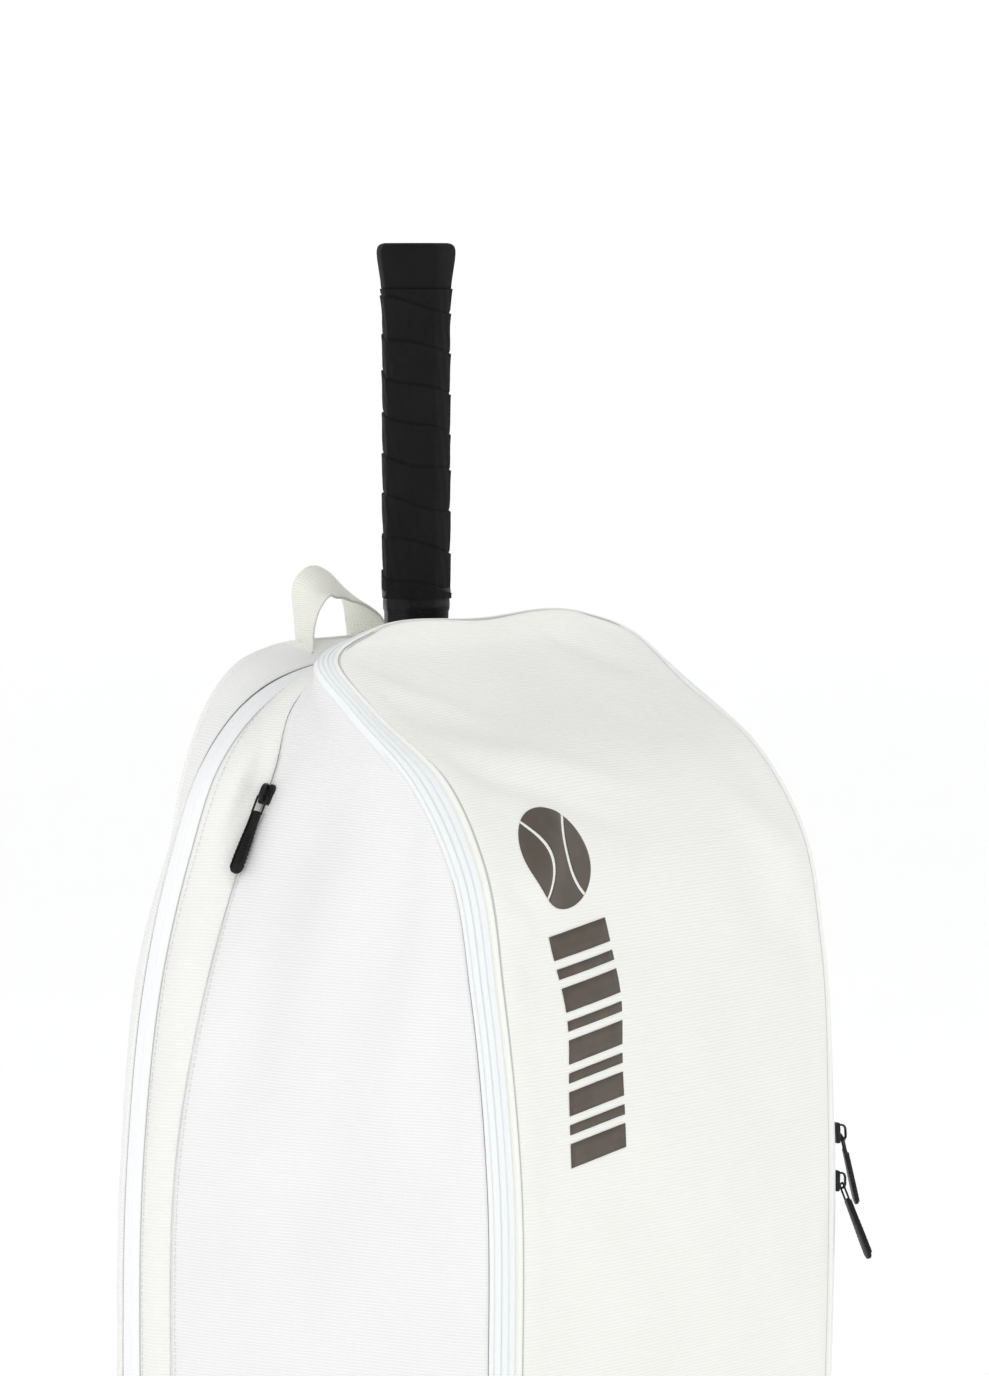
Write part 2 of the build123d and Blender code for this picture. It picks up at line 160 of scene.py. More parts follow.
class Recipe:
    """A material in the making: its node tree, its Principled shader and the object's own coordinates."""

    def __init__(self, name):
        self.material = bpy.data.materials.new(name)
        self.material.use_nodes = True
        self.nodes = self.material.node_tree.nodes
        self.links = self.material.node_tree.links
        self.shader = self.nodes["Principled BSDF"]
        self.place = self.nodes.new("ShaderNodeTexCoord").outputs["Object"]

    def fill(self, node, inputs):
        """Links each given output to its socket, or sets the socket's own value."""
        for key, value in inputs.items():
            if isinstance(value, bpy.types.NodeSocket):
                self.links.new(value, node.inputs[key])
            else:
                node.inputs[key].default_value = value

    def add(self, kind, inputs, output, **settings):
        """A new node; the result is one of its outputs."""
        node = self.nodes.new("ShaderNode" + kind)
        for key, value in settings.items():
            setattr(node, key, value)
        self.fill(node, inputs)
        return node.outputs[output]

    def threads(self, source, direction, pitch):
        """Parallel threads: a band wave with its pitch in metres."""
        inputs = {"Vector": source, "Scale": 2 * math.pi / 20 / pitch, "Distortion": 0.6, "Detail": 1.0,
                  "Detail Scale": 0.6}
        return self.add("TexWave", inputs, "Fac", wave_type="BANDS", bands_direction=direction,
                        wave_profile="SIN")

    def noise(self, source, scale, detail):
        return self.add("TexNoise", {"Vector": source, "Scale": scale, "Detail": detail}, "Fac")

    def maths(self, operation, one, two):
        return self.add("Math", {0: one, 1: two}, 0, operation=operation)

    def finish(self, factor, dark, light, height, strength, distance, values):
        """Mixes the base colour, adds the bump and sets the shader's values."""
        mixed = self.add("Mix", {"Factor": factor, "A": dark, "B": light}, "Result", data_type="RGBA")
        self.fill(self.shader, {"Base Color": mixed, **values})
        if height is not None:
            bump = self.add("Bump", {"Strength": strength, "Distance": distance, "Height": height}, "Normal")
            self.fill(self.shader, {"Normal": bump})
        return self.material


def cloth_material(name, light, dark, along, across, depth, roughness=0.85, sheen=0.15, sharp=1.0):
    """Woven cloth: threads of two pitches (metres), along the piece and across it, with faint blotches."""
    recipe = Recipe(name)
    weave = recipe.add("UVMap", {}, "UV", uv_map="weave")
    ribs = recipe.maths("POWER", recipe.threads(weave, "X", along), sharp)
    crossing = recipe.maths("MULTIPLY", recipe.threads(weave, "Y", across), 0.5)
    height = recipe.maths("MULTIPLY", ribs, recipe.maths("ADD", crossing, 0.5))
    fuzz = recipe.noise(weave, 1400, 2)
    height = recipe.maths("ADD", height, recipe.maths("MULTIPLY", fuzz, 0.5))
    blotches = recipe.maths("MULTIPLY", recipe.noise(recipe.place, 16, 4), BLOTCH_SHARE)
    shade = recipe.maths("ADD", recipe.maths("MULTIPLY", height, 1 - BLOTCH_SHARE), blotches)
    return recipe.finish(shade, colour(dark), colour(light), height, 0.6, depth,
                         {"Roughness": roughness, "Sheen Weight": sheen, "Sheen Roughness": 0.5,
                          "Specular IOR Level": 0.3})


def moulded_material(name, light, dark, roughness, grain, depth, coat=0.0, metallic=0.0, specular=0.35):
    """Plastic, rubber, lacquer or metal with a fine grain and slight mottling."""
    recipe = Recipe(name)
    fine = recipe.noise(recipe.place, grain, 3)
    mottle = recipe.noise(recipe.place, grain / 14, 3)
    spread = recipe.maths("ADD", recipe.maths("MULTIPLY", fine, 0.25), roughness - 0.12)
    return recipe.finish(mottle, colour(dark), colour(light), fine, 0.35, depth,
                         {"Roughness": spread, "Specular IOR Level": specular, "Coat Weight": coat,
                          "Coat Roughness": 0.15, "Metallic": metallic})


def mesh_knit_material(name, light, dark, cell):
    """Air mesh: a knit with rows of small round holes, cell metres apart."""
    recipe = Recipe(name)
    apart = recipe.nodes.new("ShaderNodeSeparateXYZ")
    recipe.fill(apart, {"Vector": recipe.place})
    flat_place = recipe.add("CombineXYZ", {"X": apart.outputs["X"], "Y": apart.outputs["Z"]}, "Vector")
    cells = recipe.add("TexVoronoi", {"Vector": flat_place, "Scale": 1 / cell, "Randomness": 0.2}, "Distance",
                       voronoi_dimensions="2D")
    yarn = recipe.add("MapRange", {"Value": cells, "From Min": 0.18, "From Max": 0.42}, "Result")
    fuzz = recipe.maths("MULTIPLY", recipe.noise(recipe.place, 1500, 2), 0.3)
    return recipe.finish(yarn, colour(dark), colour(light), recipe.maths("ADD", yarn, fuzz), 0.8, 0.0005,
                         {"Roughness": 0.9, "Sheen Weight": 0.2})


BLOTCH_SHARE = 0.35
# Cloths: name, light and dark colour, thread pitch along and across and thread height in metres, then, where
# they aren't the usual, roughness, sheen and how sharp the threads are.
CLOTHS = {
    "front": ("front_rib_cloth", (249, 249, 244), (233, 234, 228), 0.0017, 0.0011, 0.00022),
    "side": ("side_grid_cloth", (247, 247, 246), (229, 229, 229), 0.0016, 0.0016, 0.00018),
    "middle": ("middle_rib_cloth", (249, 248, 244), (234, 234, 229), 0.0017, 0.0009, 0.00025),
    "rear": ("rear_grid_cloth", (252, 252, 249), (238, 239, 235), 0.0018, 0.0018, 0.00022),
    "band": ("band_satin", (246, 249, 249), (234, 239, 240), 0.0006, 0.0005, 0.00005, 0.55, 0.1),
    # Painted shade: a greyer band cloth that colours the shade in the band's grooves.
    "groove": ("band_groove_shade", (228, 234, 236), (212, 219, 222), 0.0006, 0.0005, 0.00005),
    "piping": ("piping_cloth", (250, 250, 245), (239, 239, 232), 0.0007, 0.0005, 0.00008),
    "tape": ("zip_tape_cloth", (252, 253, 253), (241, 244, 245), 0.0009, 0.0006, 0.00008, 0.6),
    # Painted shadow: a dark grey for the shadowed gaps at the band's lip, in the front zip's slit and at the
    # main zip's outer edge.
    "seam": ("seam_shadow", (150, 153, 152), (112, 115, 114), 0.001, 0.001, 0.0001),
    # Painted shade: a soft grey for the shade in the groove beside the front panel, under the side gusset's
    # edge and at the main zip's inner edge.
    "soft_seam_shade": ("soft_seam_shade", (214, 216, 214), (190, 193, 191), 0.001, 0.001, 0.0001),
    "thread": ("sewing_thread", (243, 244, 242), (222, 224, 222), 0.0008, 0.0004, 0.0001),
    "lining": ("lining_cloth", (206, 206, 203), (184, 185, 183), 0.0008, 0.0008, 0.0001),
    "back": ("back_cloth", (236, 236, 232), (214, 215, 210), 0.0016, 0.0012, 0.0002),
    "base": ("base_cloth", (236, 236, 232), (214, 215, 211), 0.0011, 0.0011, 0.00022, 0.6),
    "webbing": ("ribbed_webbing", (251, 251, 243), (226, 226, 213), 0.0012, 0.0022, 0.0003, 0.85, 0.15, 0.7),
}
# Hard pieces: name, light and dark colour, roughness, grain, bump height, then coat, metal and specular.
MOULDED = {
    "grip": ("perforated_wrap", (24, 24, 25), (12, 12, 13), 0.7, 900, 0.00012, 0.0, 0.0, 0.12),
    "collar": ("collar_rubber", (12, 12, 13), (5, 5, 6), 0.3, 500, 0.00003, 0.08, 0.0, 0.15),
    "butt": ("butt_rubber", (24, 24, 25), (12, 12, 13), 0.7, 900, 0.0001, 0.0, 0.0, 0.12),
    "slider": ("black_die_cast", (24, 24, 25), (12, 12, 13), 0.38, 700, 0.00003, 0.1, 0.3),
    "pull": ("soft_moulded_pull", (24, 24, 25), (10, 10, 11), 0.42, 900, 0.00005, 0.05, 0.0, 0.2),
    "lacquer": ("satin_lacquer", (40, 41, 45), (26, 27, 30), 0.3, 260, 0.00002, 0.5, 0.3),
    "nylon": ("nylon_guard", (36, 36, 37), (22, 22, 23), 0.5, 600, 0.00005),
    "string": ("string_gut", (232, 224, 190), (208, 198, 160), 0.35, 900, 0.00003),
    "foam": ("pallet_foam", (70, 70, 71), (52, 52, 53), 0.8, 700, 0.0001),
    "buckle": ("buckle_acetal", (228, 228, 224), (205, 205, 201), 0.45, 600, 0.00004),
    "board": ("base_board", (96, 97, 98), (74, 75, 76), 0.75, 500, 0.0001),
    "ink": ("transfer_print", (98, 89, 80), (72, 64, 56), 0.5, 1200, 0.00003),
}
MAT = {key: cloth_material(*values) for key, values in CLOTHS.items()}
MAT.update({key: moulded_material(*values) for key, values in MOULDED.items()})
MAT["air_mesh"] = mesh_knit_material("air_mesh", (238, 238, 234), (168, 168, 165), 0.0026)


# ---- mesh helpers
def make_object(name, points, faces, materials, uvs=None, face_materials=None):
    """A mesh object from points in millimetres; uvs are metres, and a grid of points gets its own lengths."""
    points = np.asarray(points, float)
    if uvs is None and points.ndim == 3:
        uvs = grid_uvs(points)
    mesh = bpy.data.meshes.new(name)
    mesh.from_pydata((points.reshape(-1, 3) * MM).tolist(), [], faces)
    for material in materials:
        mesh.materials.append(material)
    if face_materials is not None:
        mesh.polygons.foreach_set("material_index", face_materials)
    mesh.polygons.foreach_set("use_smooth", [True] * len(mesh.polygons))
    if uvs is not None:
        layer = mesh.uv_layers.new(name="weave")
        corners = np.zeros(len(mesh.loops), np.int32)
        mesh.loops.foreach_get("vertex_index", corners)
        layer.data.foreach_set("uv", np.asarray(uvs, np.float32)[corners].ravel())
    mesh.update()
    obj = bpy.data.objects.new(name, mesh)
    scene.collection.objects.link(obj)
    return obj


def grid_faces(rows, columns, wrap=False):
    faces = []
    for i in range(rows - 1):
        for j in range(columns if wrap else columns - 1):
            k = (j + 1) % columns
            faces.append((i * columns + j, (i + 1) * columns + j, (i + 1) * columns + k, i * columns + k))
    return faces


def tube_faces(rows, columns, closed=False):
    """The walls of a swept section, then its two ends or, in a ring, the wall that closes it."""
    faces = grid_faces(rows, columns, wrap=True)
    last = (rows - 1) * columns
    if closed:
        return faces + [(last + j, j, (j + 1) % columns, last + (j + 1) % columns) for j in range(columns)]
    return faces + [tuple(range(columns)), tuple(reversed(range(last, last + columns)))]


def grid_uvs(grid):
    """Lengths along the rows and across the columns, in metres, so that a weave keeps its size."""
    step = np.linalg.norm(np.diff(grid, axis=0), axis=2).mean(axis=1)
    along = np.concatenate([[0], np.cumsum(step)])
    side = np.linalg.norm(np.diff(grid, axis=1), axis=2)
    across = np.concatenate([np.zeros((len(grid), 1)), np.cumsum(side, axis=1)], axis=1)
    across -= across[:, [across.shape[1] // 2]]
    return np.stack([np.broadcast_to(along[:, None], across.shape), across], axis=2).reshape(-1, 2) * MM


def lying_uvs(points):
    """(z, x) in metres, for a piece that faces front or back."""
    return np.reshape(points, (-1, 3))[:, [2, 0]] * MM


def run_along(path):
    """The length of a path up to each of its points."""
    return np.concatenate([[0], np.cumsum(np.linalg.norm(np.diff(path, axis=0), axis=1))])


def section(wide, thick, count, square_wide=1.0, square_thick=1.0):
    """A round or oval section as (across, through) pairs; powers under 1 square it off."""
    angles = np.linspace(0, 2 * math.pi, count, endpoint=False)
    a = np.sign(np.cos(angles)) * abs(np.cos(angles)) ** square_wide * wide / 2
    b = np.sign(np.sin(angles)) * abs(np.sin(angles)) ** square_thick * thick / 2
    return np.stack([a, b], axis=1)


def frames_along(path, wide, closed=False):
    """Side vectors and normals along a path; wide is the wished side direction."""
    if closed:
        around = np.vstack([path[-1:], path, path[:1]])
        tangent = unit(around[2:] - around[:-2])
    else:
        tangent = unit(np.gradient(path, axis=0))
    wide = np.broadcast_to(np.asarray(wide, float), path.shape)
    side = unit(wide - tangent * (tangent * wide).sum(axis=1, keepdims=True))
    return side, np.cross(tangent, side)


def carried(path, side, normal, outline, scales=None):
    """A grid of points: an outline carried along a path; scales are (across, through) for each point."""
    scales = np.ones((len(path), 2)) if scales is None else np.asarray(scales)
    side = np.broadcast_to(side, path.shape)
    normal = np.broadcast_to(normal, path.shape)
    return (path[:, None] + side[:, None] * (outline[None, :, :1] * scales[:, None, :1])
            + normal[:, None] * (outline[None, :, 1:] * scales[:, None, 1:]))


def swept(path, side, normal, outline, scales=None, closed=False):
    """The points and faces of a closed outline carried along a path."""
    return carried(path, side, normal, outline, scales), tube_faces(len(path), len(outline), closed)


def tube(path, radius, wide=(0, 1, 0), sides=10, closed=False):
    """The points and faces of a round cord along a path."""
    side, normal = frames_along(path, wide, closed)
    return swept(path, side, normal, section(2 * radius, 2 * radius, sides), closed=closed)


def merged(pieces):
    """Several pairs of points and faces as one."""
    points = []
    faces = []
    for piece_points, piece_faces in pieces:
        offset = len(points)
        points += np.reshape(piece_points, (-1, 3)).tolist()
        faces += [tuple(index + offset for index in face) for face in piece_faces]
    return np.array(points), faces


def rounded_outline(half, low, high, corner, count=8):
    """A rounded rectangle, between two heights, that starts at its lower right corner."""
    points = []
    for v, w, start in ((half - corner, low + corner, -90), (half - corner, high - corner, 0),
                        (-half + corner, high - corner, 90), (-half + corner, low + corner, 180)):
        for k in range(count):
            angle = math.radians(start + 90 * k / (count - 1))
            points.append((v + corner * math.cos(angle), w + corner * math.sin(angle)))
    return points


def softened_loop(corners, steps, passes):
    """A closed run of corners as a dense line with its corners eased off."""
    dense = []
    for start, end in zip(corners, np.roll(corners, -1, axis=0)):
        dense += [start + (end - start) * step / steps for step in range(steps)]
    line = np.array(dense)
    for _ in range(passes):
        line = (np.roll(line, 1, axis=0) + 2 * line + np.roll(line, -1, axis=0)) / 4
    return line


FLAP_CLOTH = "flap cloth"               # stands for the front flap's cloth, which bends at the hinge; such a piece has its transform baked and joins no body


def finish_piece(obj, body, slot, *nodes):
    if body == FLAP_CLOTH:
        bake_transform(obj)
    else:
        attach(obj, body)
    if nodes:
        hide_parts(*nodes)


def thicken(obj, thickness, offset=-1):
    solid = obj.modifiers.new("thickness", "SOLIDIFY")
    solid.thickness = thickness * MM
    solid.offset = offset
    return solid


def cloth_sheet(name, grid, materials, thickness, body, slot, *nodes, by_column=None, declare=True):
    """A sewn fabric panel from a grid of points: its outer face with a lining behind it."""
    rows, columns = grid.shape[:2]
    used = materials + [MAT["lining"]]
    face_materials = None
    if by_column is not None:
        face_materials = [by_column[j] for _ in range(rows - 1) for j in range(columns - 1)]
    obj = make_object(name, grid, grid_faces(rows, columns), used, face_materials=face_materials)
    solid = thicken(obj, thickness)
    solid.material_offset = len(used) - 1
    solid.material_offset_rim = 0
    finish_piece(obj, body, slot, *nodes)
    return obj


WEB_RIDGES = 11


def ribbon(name, route, width, thickness, wide, ridge, nodes=(), samples=14):
    """Flat webbing along a smooth route, with ridges that run along it."""
    path = spline(route, np.linspace(0, len(route) - 1, (len(route) - 1) * samples + 1))
    side, normal = frames_along(path, wide)
    across = np.linspace(-1, 1, WEB_RIDGES * 4 + 1)
    edge = np.sqrt(np.clip(1 - abs(across) ** 14, 0, 1))
    rise = thickness / 2 * (0.35 + 0.65 * edge) + ridge * np.cos(across * math.pi * WEB_RIDGES) * edge
    top = np.stack([across * width / 2, rise], axis=1)
    bottom = np.stack([across[::-1] * width / 2, -rise[::-1]], axis=1)
    points, faces = swept(path, side, normal, np.vstack([top, bottom]))
    finish_piece(make_object(name, points, faces, [MAT["webbing"]]), "bag", "webbing", *nodes)


def stitches(name, path, outward, length, gap, radius, slot):
    """A row of short thread stitches that lie on a seam."""
    run = run_along(path)
    shares = np.array([0, 0.2, 0.5, 0.8, 1.0])
    rise = np.array([-0.4, 0.7, 1.0, 0.7, -0.4]) * radius
    pieces = []
    for start in np.arange(gap, run[-1] - length, length + gap):
        at = start + shares * length
        middle = np.stack([np.interp(at, run, path[:, k]) for k in range(3)], axis=1)
        up = unit(np.stack([np.interp(at, run, outward[:, k]) for k in range(3)], axis=1))
        middle = middle + up * rise[:, None]
        side = unit(np.cross(np.gradient(middle, axis=0), up))
        pieces.append(swept(middle, side, up, section(2 * radius, 2 * radius, 6)))
    points, faces = merged(pieces)
    obj = make_object(name, points, faces, [MAT["thread"]], np.zeros((len(points), 2)))
    finish_piece(obj, "bag", slot)


# ---- smooth edges of the shell
PROFILE_TOP = np.array([0, 0.75, -0.66])       # into the bag at the front of the top
edge_f, edge_g, edge_d, edge_lip, edge_b, edge_a, edge_r = [
    smooth_arch(arch) for arch in (ARCH_F, ARCH_G, ARCH_D, ARCH_LIP, ARCH_B, ARCH_A, ARCH_R)]
low_station = np.minimum(STATION, 2 * TOP - STATION)       # counted from the base on both sides


def profile_inward(edge):
    """Unit vectors into the bag across the front's side view."""
    half = np.gradient(edge, axis=0)
    result = np.stack([np.zeros(len(edge)), half[:, 2], -half[:, 1]], axis=1)
    flip = np.where(STATION[:, None] > TOP, -1, 1)
    result = result * flip
    weight = smoothstep(8.2, 9.0, low_station)[:, None]
    return unit(unit(result) * (1 - weight) + PROFILE_TOP * weight)


into_front = profile_inward(edge_f)


def rows(first, last):
    return slice(ROW[first], ROW[last] + 1)


# ---- front flap: ribbed band and crowned panel
SHELL_CLOTH = 1.6          # thickness of the gussets' and the band's cloth with its foam
PANEL_CLOTH = 1.8          # thickness of the front's and the back's cloth
TAPE_CLOTH = 0.8           # thickness of a zip tape
HINGE = 1                  # station where the flap bends away from the skirt
HINGE_GAP = 0.3
PANEL_COLUMNS = 150
# Grooves across the band: place and spread as shares of its width, and depth.
BAND_GROOVES = [(0.02, 0.025, 1.3), (0.24, 0.02, 0.9), (0.46, 0.024, 1.2), (0.67, 0.024, 1.2),
                (0.87, 0.02, 0.9)]
BAND, PIPING, SEAM_SOFT_SHADE, GROOVE_SHADE, SEAM_SHADE = range(5)           # the materials of the band's columns; three are painted shade: by the panel's seam, in two grooves and on the lip at the outer edge
BAND_MATERIALS = [MAT["band"], MAT["piping"], MAT["soft_seam_shade"], MAT["groove"], MAT["seam"]]
DARK_EDGE_TOP = 0.385      # the band's outer edge is in shade up to this height, in metres


def band_grid():
    """The band round the front panel: piping, then a smooth tape with soft grooves, rolled at its edge."""
    shares = np.concatenate([np.linspace(0, 0.26, 15)[:-1], np.linspace(0.26, 1, 30)])
    grid = between(edge_f, edge_g, shares)
    width = np.linalg.norm(edge_g - edge_f, axis=1)[:, None]
    narrow = np.clip(width / 19.0, 0.35, 1)
    piping = 1.5 * narrow * np.sqrt(np.clip(1 - ((shares - 0.13) / 0.085) ** 2, 0, 1))[None, :]
    groove = 0 * shares
    for place, spread, depth in BAND_GROOVES:
        groove = groove - depth * hump(shares, place, spread)
    crown = 1.3 * np.sin(math.pi * np.clip((shares - 0.22) / 0.78, 0, 1)) ** 0.7
    roll = -2.2 * smoothstep(0.9, 1.0, shares) ** 1.5
    height = piping + (groove + crown + roll)[None, :] * narrow
    slider_run = hump(edge_g[:, 2], 292, 40) * (edge_g[:, 0] > 0)       # room for the upper slider's travel
    height = height - 1.4 * slider_run[:, None] * smoothstep(0.5, 0.8, shares)[None, :]
    grid = lifted(grid, height)
    lip = (grid[:, -1] + into_front * 2.2)[:, None]
    # Painted shade: the first column by the panel, two groove columns and the last two columns at the lip
    # take darker cloth.
    columns = [SEAM_SOFT_SHADE if share < 0.02 else PIPING if share < 0.235 else BAND for share in shares]
    for groove_share in (0.46, 0.67):
        columns[int(np.argmin(abs(shares - groove_share)))] = GROOVE_SHADE
    columns[-2:] = [SEAM_SHADE, SEAM_SHADE]
    return np.concatenate([grid, lip], axis=1), columns


whole_band, band_columns = band_grid()
for name, first, last, body, node in (
        ("front_band_ribbed", HINGE, 2 * TOP - HINGE, FLAP_CLOTH, "front_band"),
        ("skirt_band_ribbed_left", 0, HINGE, "bag", "skirt_band_left"),
        ("skirt_band_ribbed_right", 2 * TOP - HINGE, 2 * TOP, "bag", "skirt_band_right")):
    part = whole_band[rows(first, last)].copy()
    if body == FLAP_CLOTH:
        part[[0, -1], :, 2] += HINGE_GAP
    obj = cloth_sheet(name, part, BAND_MATERIALS, SHELL_CLOTH, body, "band_fabric", node,
                      by_column=band_columns)
    # Above DARK_EDGE_TOP the painted shadow on the band's lip gives way to plain band cloth.
    for polygon in obj.data.polygons:
        if polygon.material_index == SEAM_SHADE and polygon.center.z > DARK_EDGE_TOP:
            polygon.material_index = BAND

# Soft creases of the flap: (x, z) at both ends, width and height; a minus height is a hollow.
CREASES = [((-142, 352), (-60, 425), 13, 1.8), ((-140, 330), (-40, 392), 16, -1.6),
           ((-128, 300), (-20, 335), 22, 1.2), ((142, 360), (70, 420), 14, 1.6),
           ((140, 325), (60, 372), 18, -1.4), ((-120, 440), (-30, 462), 10, -0.9),
           ((30, 445), (118, 452), 12, -1.0), ((-60, 250), (60, 262), 40, 1.2),
           ((-137, 455), (30, 414), 7, 1.3), ((-134, 442), (0, 396), 6, -1.2),
           ((-128, 480), (-50, 452), 6, 1.0), ((50, 494), (120, 468), 7, -1.0),
           ((137, 405), (95, 335), 8, 1.1), ((-138, 385), (-96, 350), 6, -0.9)]


def crease_heights(grid):
    total = np.zeros(grid.shape[:2])
    for (x0, z0), (x1, z1), width, height in CREASES:
        along = np.array([x1 - x0, z1 - z0], float)
        away = np.stack([grid[..., 0] - x0, grid[..., 2] - z0], axis=2)
        share = (away @ along) / (along @ along)
        off = (away @ np.array([-along[1], along[0]])) / np.linalg.norm(along)
        fade = smoothstep(-0.05, 0.2, share) * (1 - smoothstep(0.55, 1.05, share))
        total += height * hump(off, 0, width) * fade
    return total


def panel_grid(first, last):
    """The front panel between two stations, crowned, with its outward directions, its dip at the seams and
    how free its middle is to crease."""
    values = STATION[rows(first, last)]
    side = edge_f[rows(first, last)]
    shares = np.linspace(-1, 1, PANEL_COLUMNS)
    shares = np.sign(shares) * (1 - (1 - abs(shares)) ** 1.25)
    grid = np.zeros((len(values), PANEL_COLUMNS, 3))
    grid[..., 0] = -side[:, 0][:, None] * shares[None, :]
    grid[..., 1] = side[:, 1][:, None]
    grid[..., 2] = side[:, 2][:, None]
    top = edge_f[rows(9, 11)]
    rise = np.interp(grid[..., 0], top[:, 0], top[:, 2]) - top[0, 2]
    grid[..., 2] += smoothstep(8.0, 9.0, values)[:, None] * rise
    crown = np.interp(values, range(TOP + 1), CROWN)[:, None] * (1 - shares[None, :] ** 2)
    outward = -into_front[rows(first, last)][:, None]
    grid = grid + outward * crown[..., None]
    from_side = (1 - abs(shares))[None, :] * abs(side[:, :1])
    from_top = np.linalg.norm(side - side[-1], axis=1)[:, None] + 0 * from_side
    meets_top = last > HINGE
    from_edge = np.minimum(from_side, from_top if meets_top else from_side)
    sunk = np.where(from_side < from_top, 1.5, 0.5) if meets_top else 1.5
    dip = -sunk * hump(from_edge, 0, 1.6) + 0.8 * hump(from_edge, 9, 7)
    calm = smoothstep(0, 25, from_edge)
    return grid, outward, dip, calm


panel, outward, dip, calm = panel_grid(HINGE, 9)
folds = 1.9 * crease_heights(panel) + 0.7 * waves(panel, 3, 70)
panel = panel + outward * (dip + calm * folds)[..., None]
panel[0, :, 2] += HINGE_GAP
tucked = panel[-1:] + into_front[ROW[9]] * 1.6
panel = np.concatenate([panel, tucked])
cloth_sheet("front_panel_cloth", panel[:, ::-1], [MAT["front"]], PANEL_CLOTH, FLAP_CLOTH, "front_fabric",
            "front_panel")
skirt, outward, dip, _ = panel_grid(0, HINGE)
skirt = skirt + outward * dip[..., None]
cloth_sheet("front_skirt_cloth", skirt[:, ::-1], [MAT["front"]], PANEL_CLOTH, "bag", "front_fabric",
            "front_skirt")

# ---- gussets and zips
def gap(edge_one, edge_two):
    return np.linalg.norm(edge_two - edge_one, axis=1)[:, None]


# The side gusset, from the front zip's slit to the racket zip.
top_share = smoothstep(6.5, 9.5, low_station)[:, None]
edge_slit = edge_g + into_front * 1.1 + np.array([0, 0.0, -1.2]) * top_share
columns = np.linspace(0, 1, 56)
side = between(edge_slit, edge_d, columns)
width = gap(edge_slit, edge_d)
reach = columns * width
calm = smoothstep(0, 22, np.minimum(reach, width - reach))
low = smoothstep(0, 60, side[..., 2])
billow = 3.0 * np.sin(math.pi * columns) * low * np.clip(width / 170, 0, 1)
bend = hump(side[..., 2], 340, 90) * smoothstep(-110, -60, side[..., 1])
folds = 2.4 * bend * np.sin(side[..., 1] / 11.0 + side[..., 2] / 38.0) + 1.7 * waves(side, 11, 90)
folds = folds * calm * low
rim = -1.2 * hump(reach, 0, 1.4) + 0.7 * hump(width - reach, 5.0, 2.5)
side = lifted(side, billow + folds + rim)
cloth_sheet("side_gusset_cloth", side, [MAT["side"]], SHELL_CLOTH, "bag", "side_fabric", "side_gusset")

# The front zip's tape lies in the slit behind the band; its cloth is the painted seam shadow of that slit.
inside = -grid_normals(side)[:, 0]
tape = np.stack([edge_g + into_front * 1.4 + inside * 2.0, edge_slit + inside * 2.4,
                 edge_slit + inside * 2.6 + unit(edge_d - edge_slit) * 5.0], axis=1)
cloth_sheet("front_zip_tape_cloth", tape, [MAT["seam"]], TAPE_CLOTH, "bag", "zip_tape", "front_zip_tape",
            declare=False)

# The narrow gusset between the racket zip and the main zip: pillowed, puckered, hollow beside the sliders.
columns = np.linspace(0, 1, 40)
middle = between(edge_lip, edge_b, columns)
arched = np.sin(math.pi * columns)
pillow = np.minimum(0.16 * gap(edge_lip, edge_b), 5.5) * arched ** 0.8
low = smoothstep(0, 50, middle[..., 2])
pucker = 1.4 * np.sin(middle[..., 2] / 13.0 + 0.6) * arched * low
hollow = -4.5 * hump(middle[..., 2], 424, 20) * hump(columns, 0.3, 0.2)
soft = 0.5 * waves(middle, 5, 55) * low * arched
middle = lifted(middle, pillow * low + hollow + 0.6 * pucker + soft)
cloth_sheet("middle_gusset_cloth", middle, [MAT["middle"]], SHELL_CLOTH, "bag", "side_fabric",
            "middle_gusset")

# Racket zip: its tape hides under the side gusset's overlapping edge, coloured with painted soft shade for
# the gap there.
under = edge_d - grid_normals(side)[:, -1] * 1.9
spill = 0.035 * (1 - smoothstep(6.8, 7.8, low_station))[:, None]
tape = between(under + (edge_slit - edge_d) * 0.045, under + (edge_b - edge_d) * spill, np.linspace(0, 1, 5))
cloth_sheet("racket_zip_tape_cloth", tape, [MAT["soft_seam_shade"]], TAPE_CLOTH, "bag", "zip_tape",
            "racket_zip_tape", declare=False)

# The main zip: a coated tape that closes over its teeth, with a seam at each edge coloured with painted
# shade, soft by the middle gusset and dark by the rear gusset.
TAPE, TAPE_SEAM_SHADE, TAPE_SOFT_SHADE = range(3)
columns = np.linspace(0, 1, 30)
zip_strip = between(edge_b, edge_a, columns)
flat_line = -0.9 * hump(columns, 0.03, 0.03) - 0.5 * hump(columns, 0.5, 0.03)
flat_line = flat_line - 1.1 * hump(columns, 0.97, 0.03)
arched = np.sin(math.pi * columns)
zip_strip = lifted(zip_strip, (flat_line + 0.9 * arched) + np.zeros((len(zip_strip), 1)))
strip_columns = [TAPE_SOFT_SHADE if share < 0.035 else TAPE_SEAM_SHADE if share > 0.93 else TAPE
                 for share in columns]
cloth_sheet("main_zip_tape_cloth", zip_strip, [MAT["tape"], MAT["seam"], MAT["soft_seam_shade"]], 1.4, "bag",
            "zip_tape", "main_zip_tape", by_column=strip_columns)

# The rear gusset: puffed over the foam of the back compartment.
rear = between(edge_a, edge_r, columns)
puff_height = 0.17 * gap(edge_a, edge_r) * arched ** 0.75
puff_height = puff_height * (1 - 0.85 * hump(rear[..., 2], 405, 50))
low = smoothstep(0, 50, rear[..., 2])
soft = 0.5 * waves(rear, 8, 60) * arched * low
rear = lifted(rear, puff_height * (0.3 + 0.7 * low) + soft)
cloth_sheet("rear_gusset_cloth", rear, [MAT["rear"]], SHELL_CLOTH, "bag", "side_fabric", "rear_gusset")

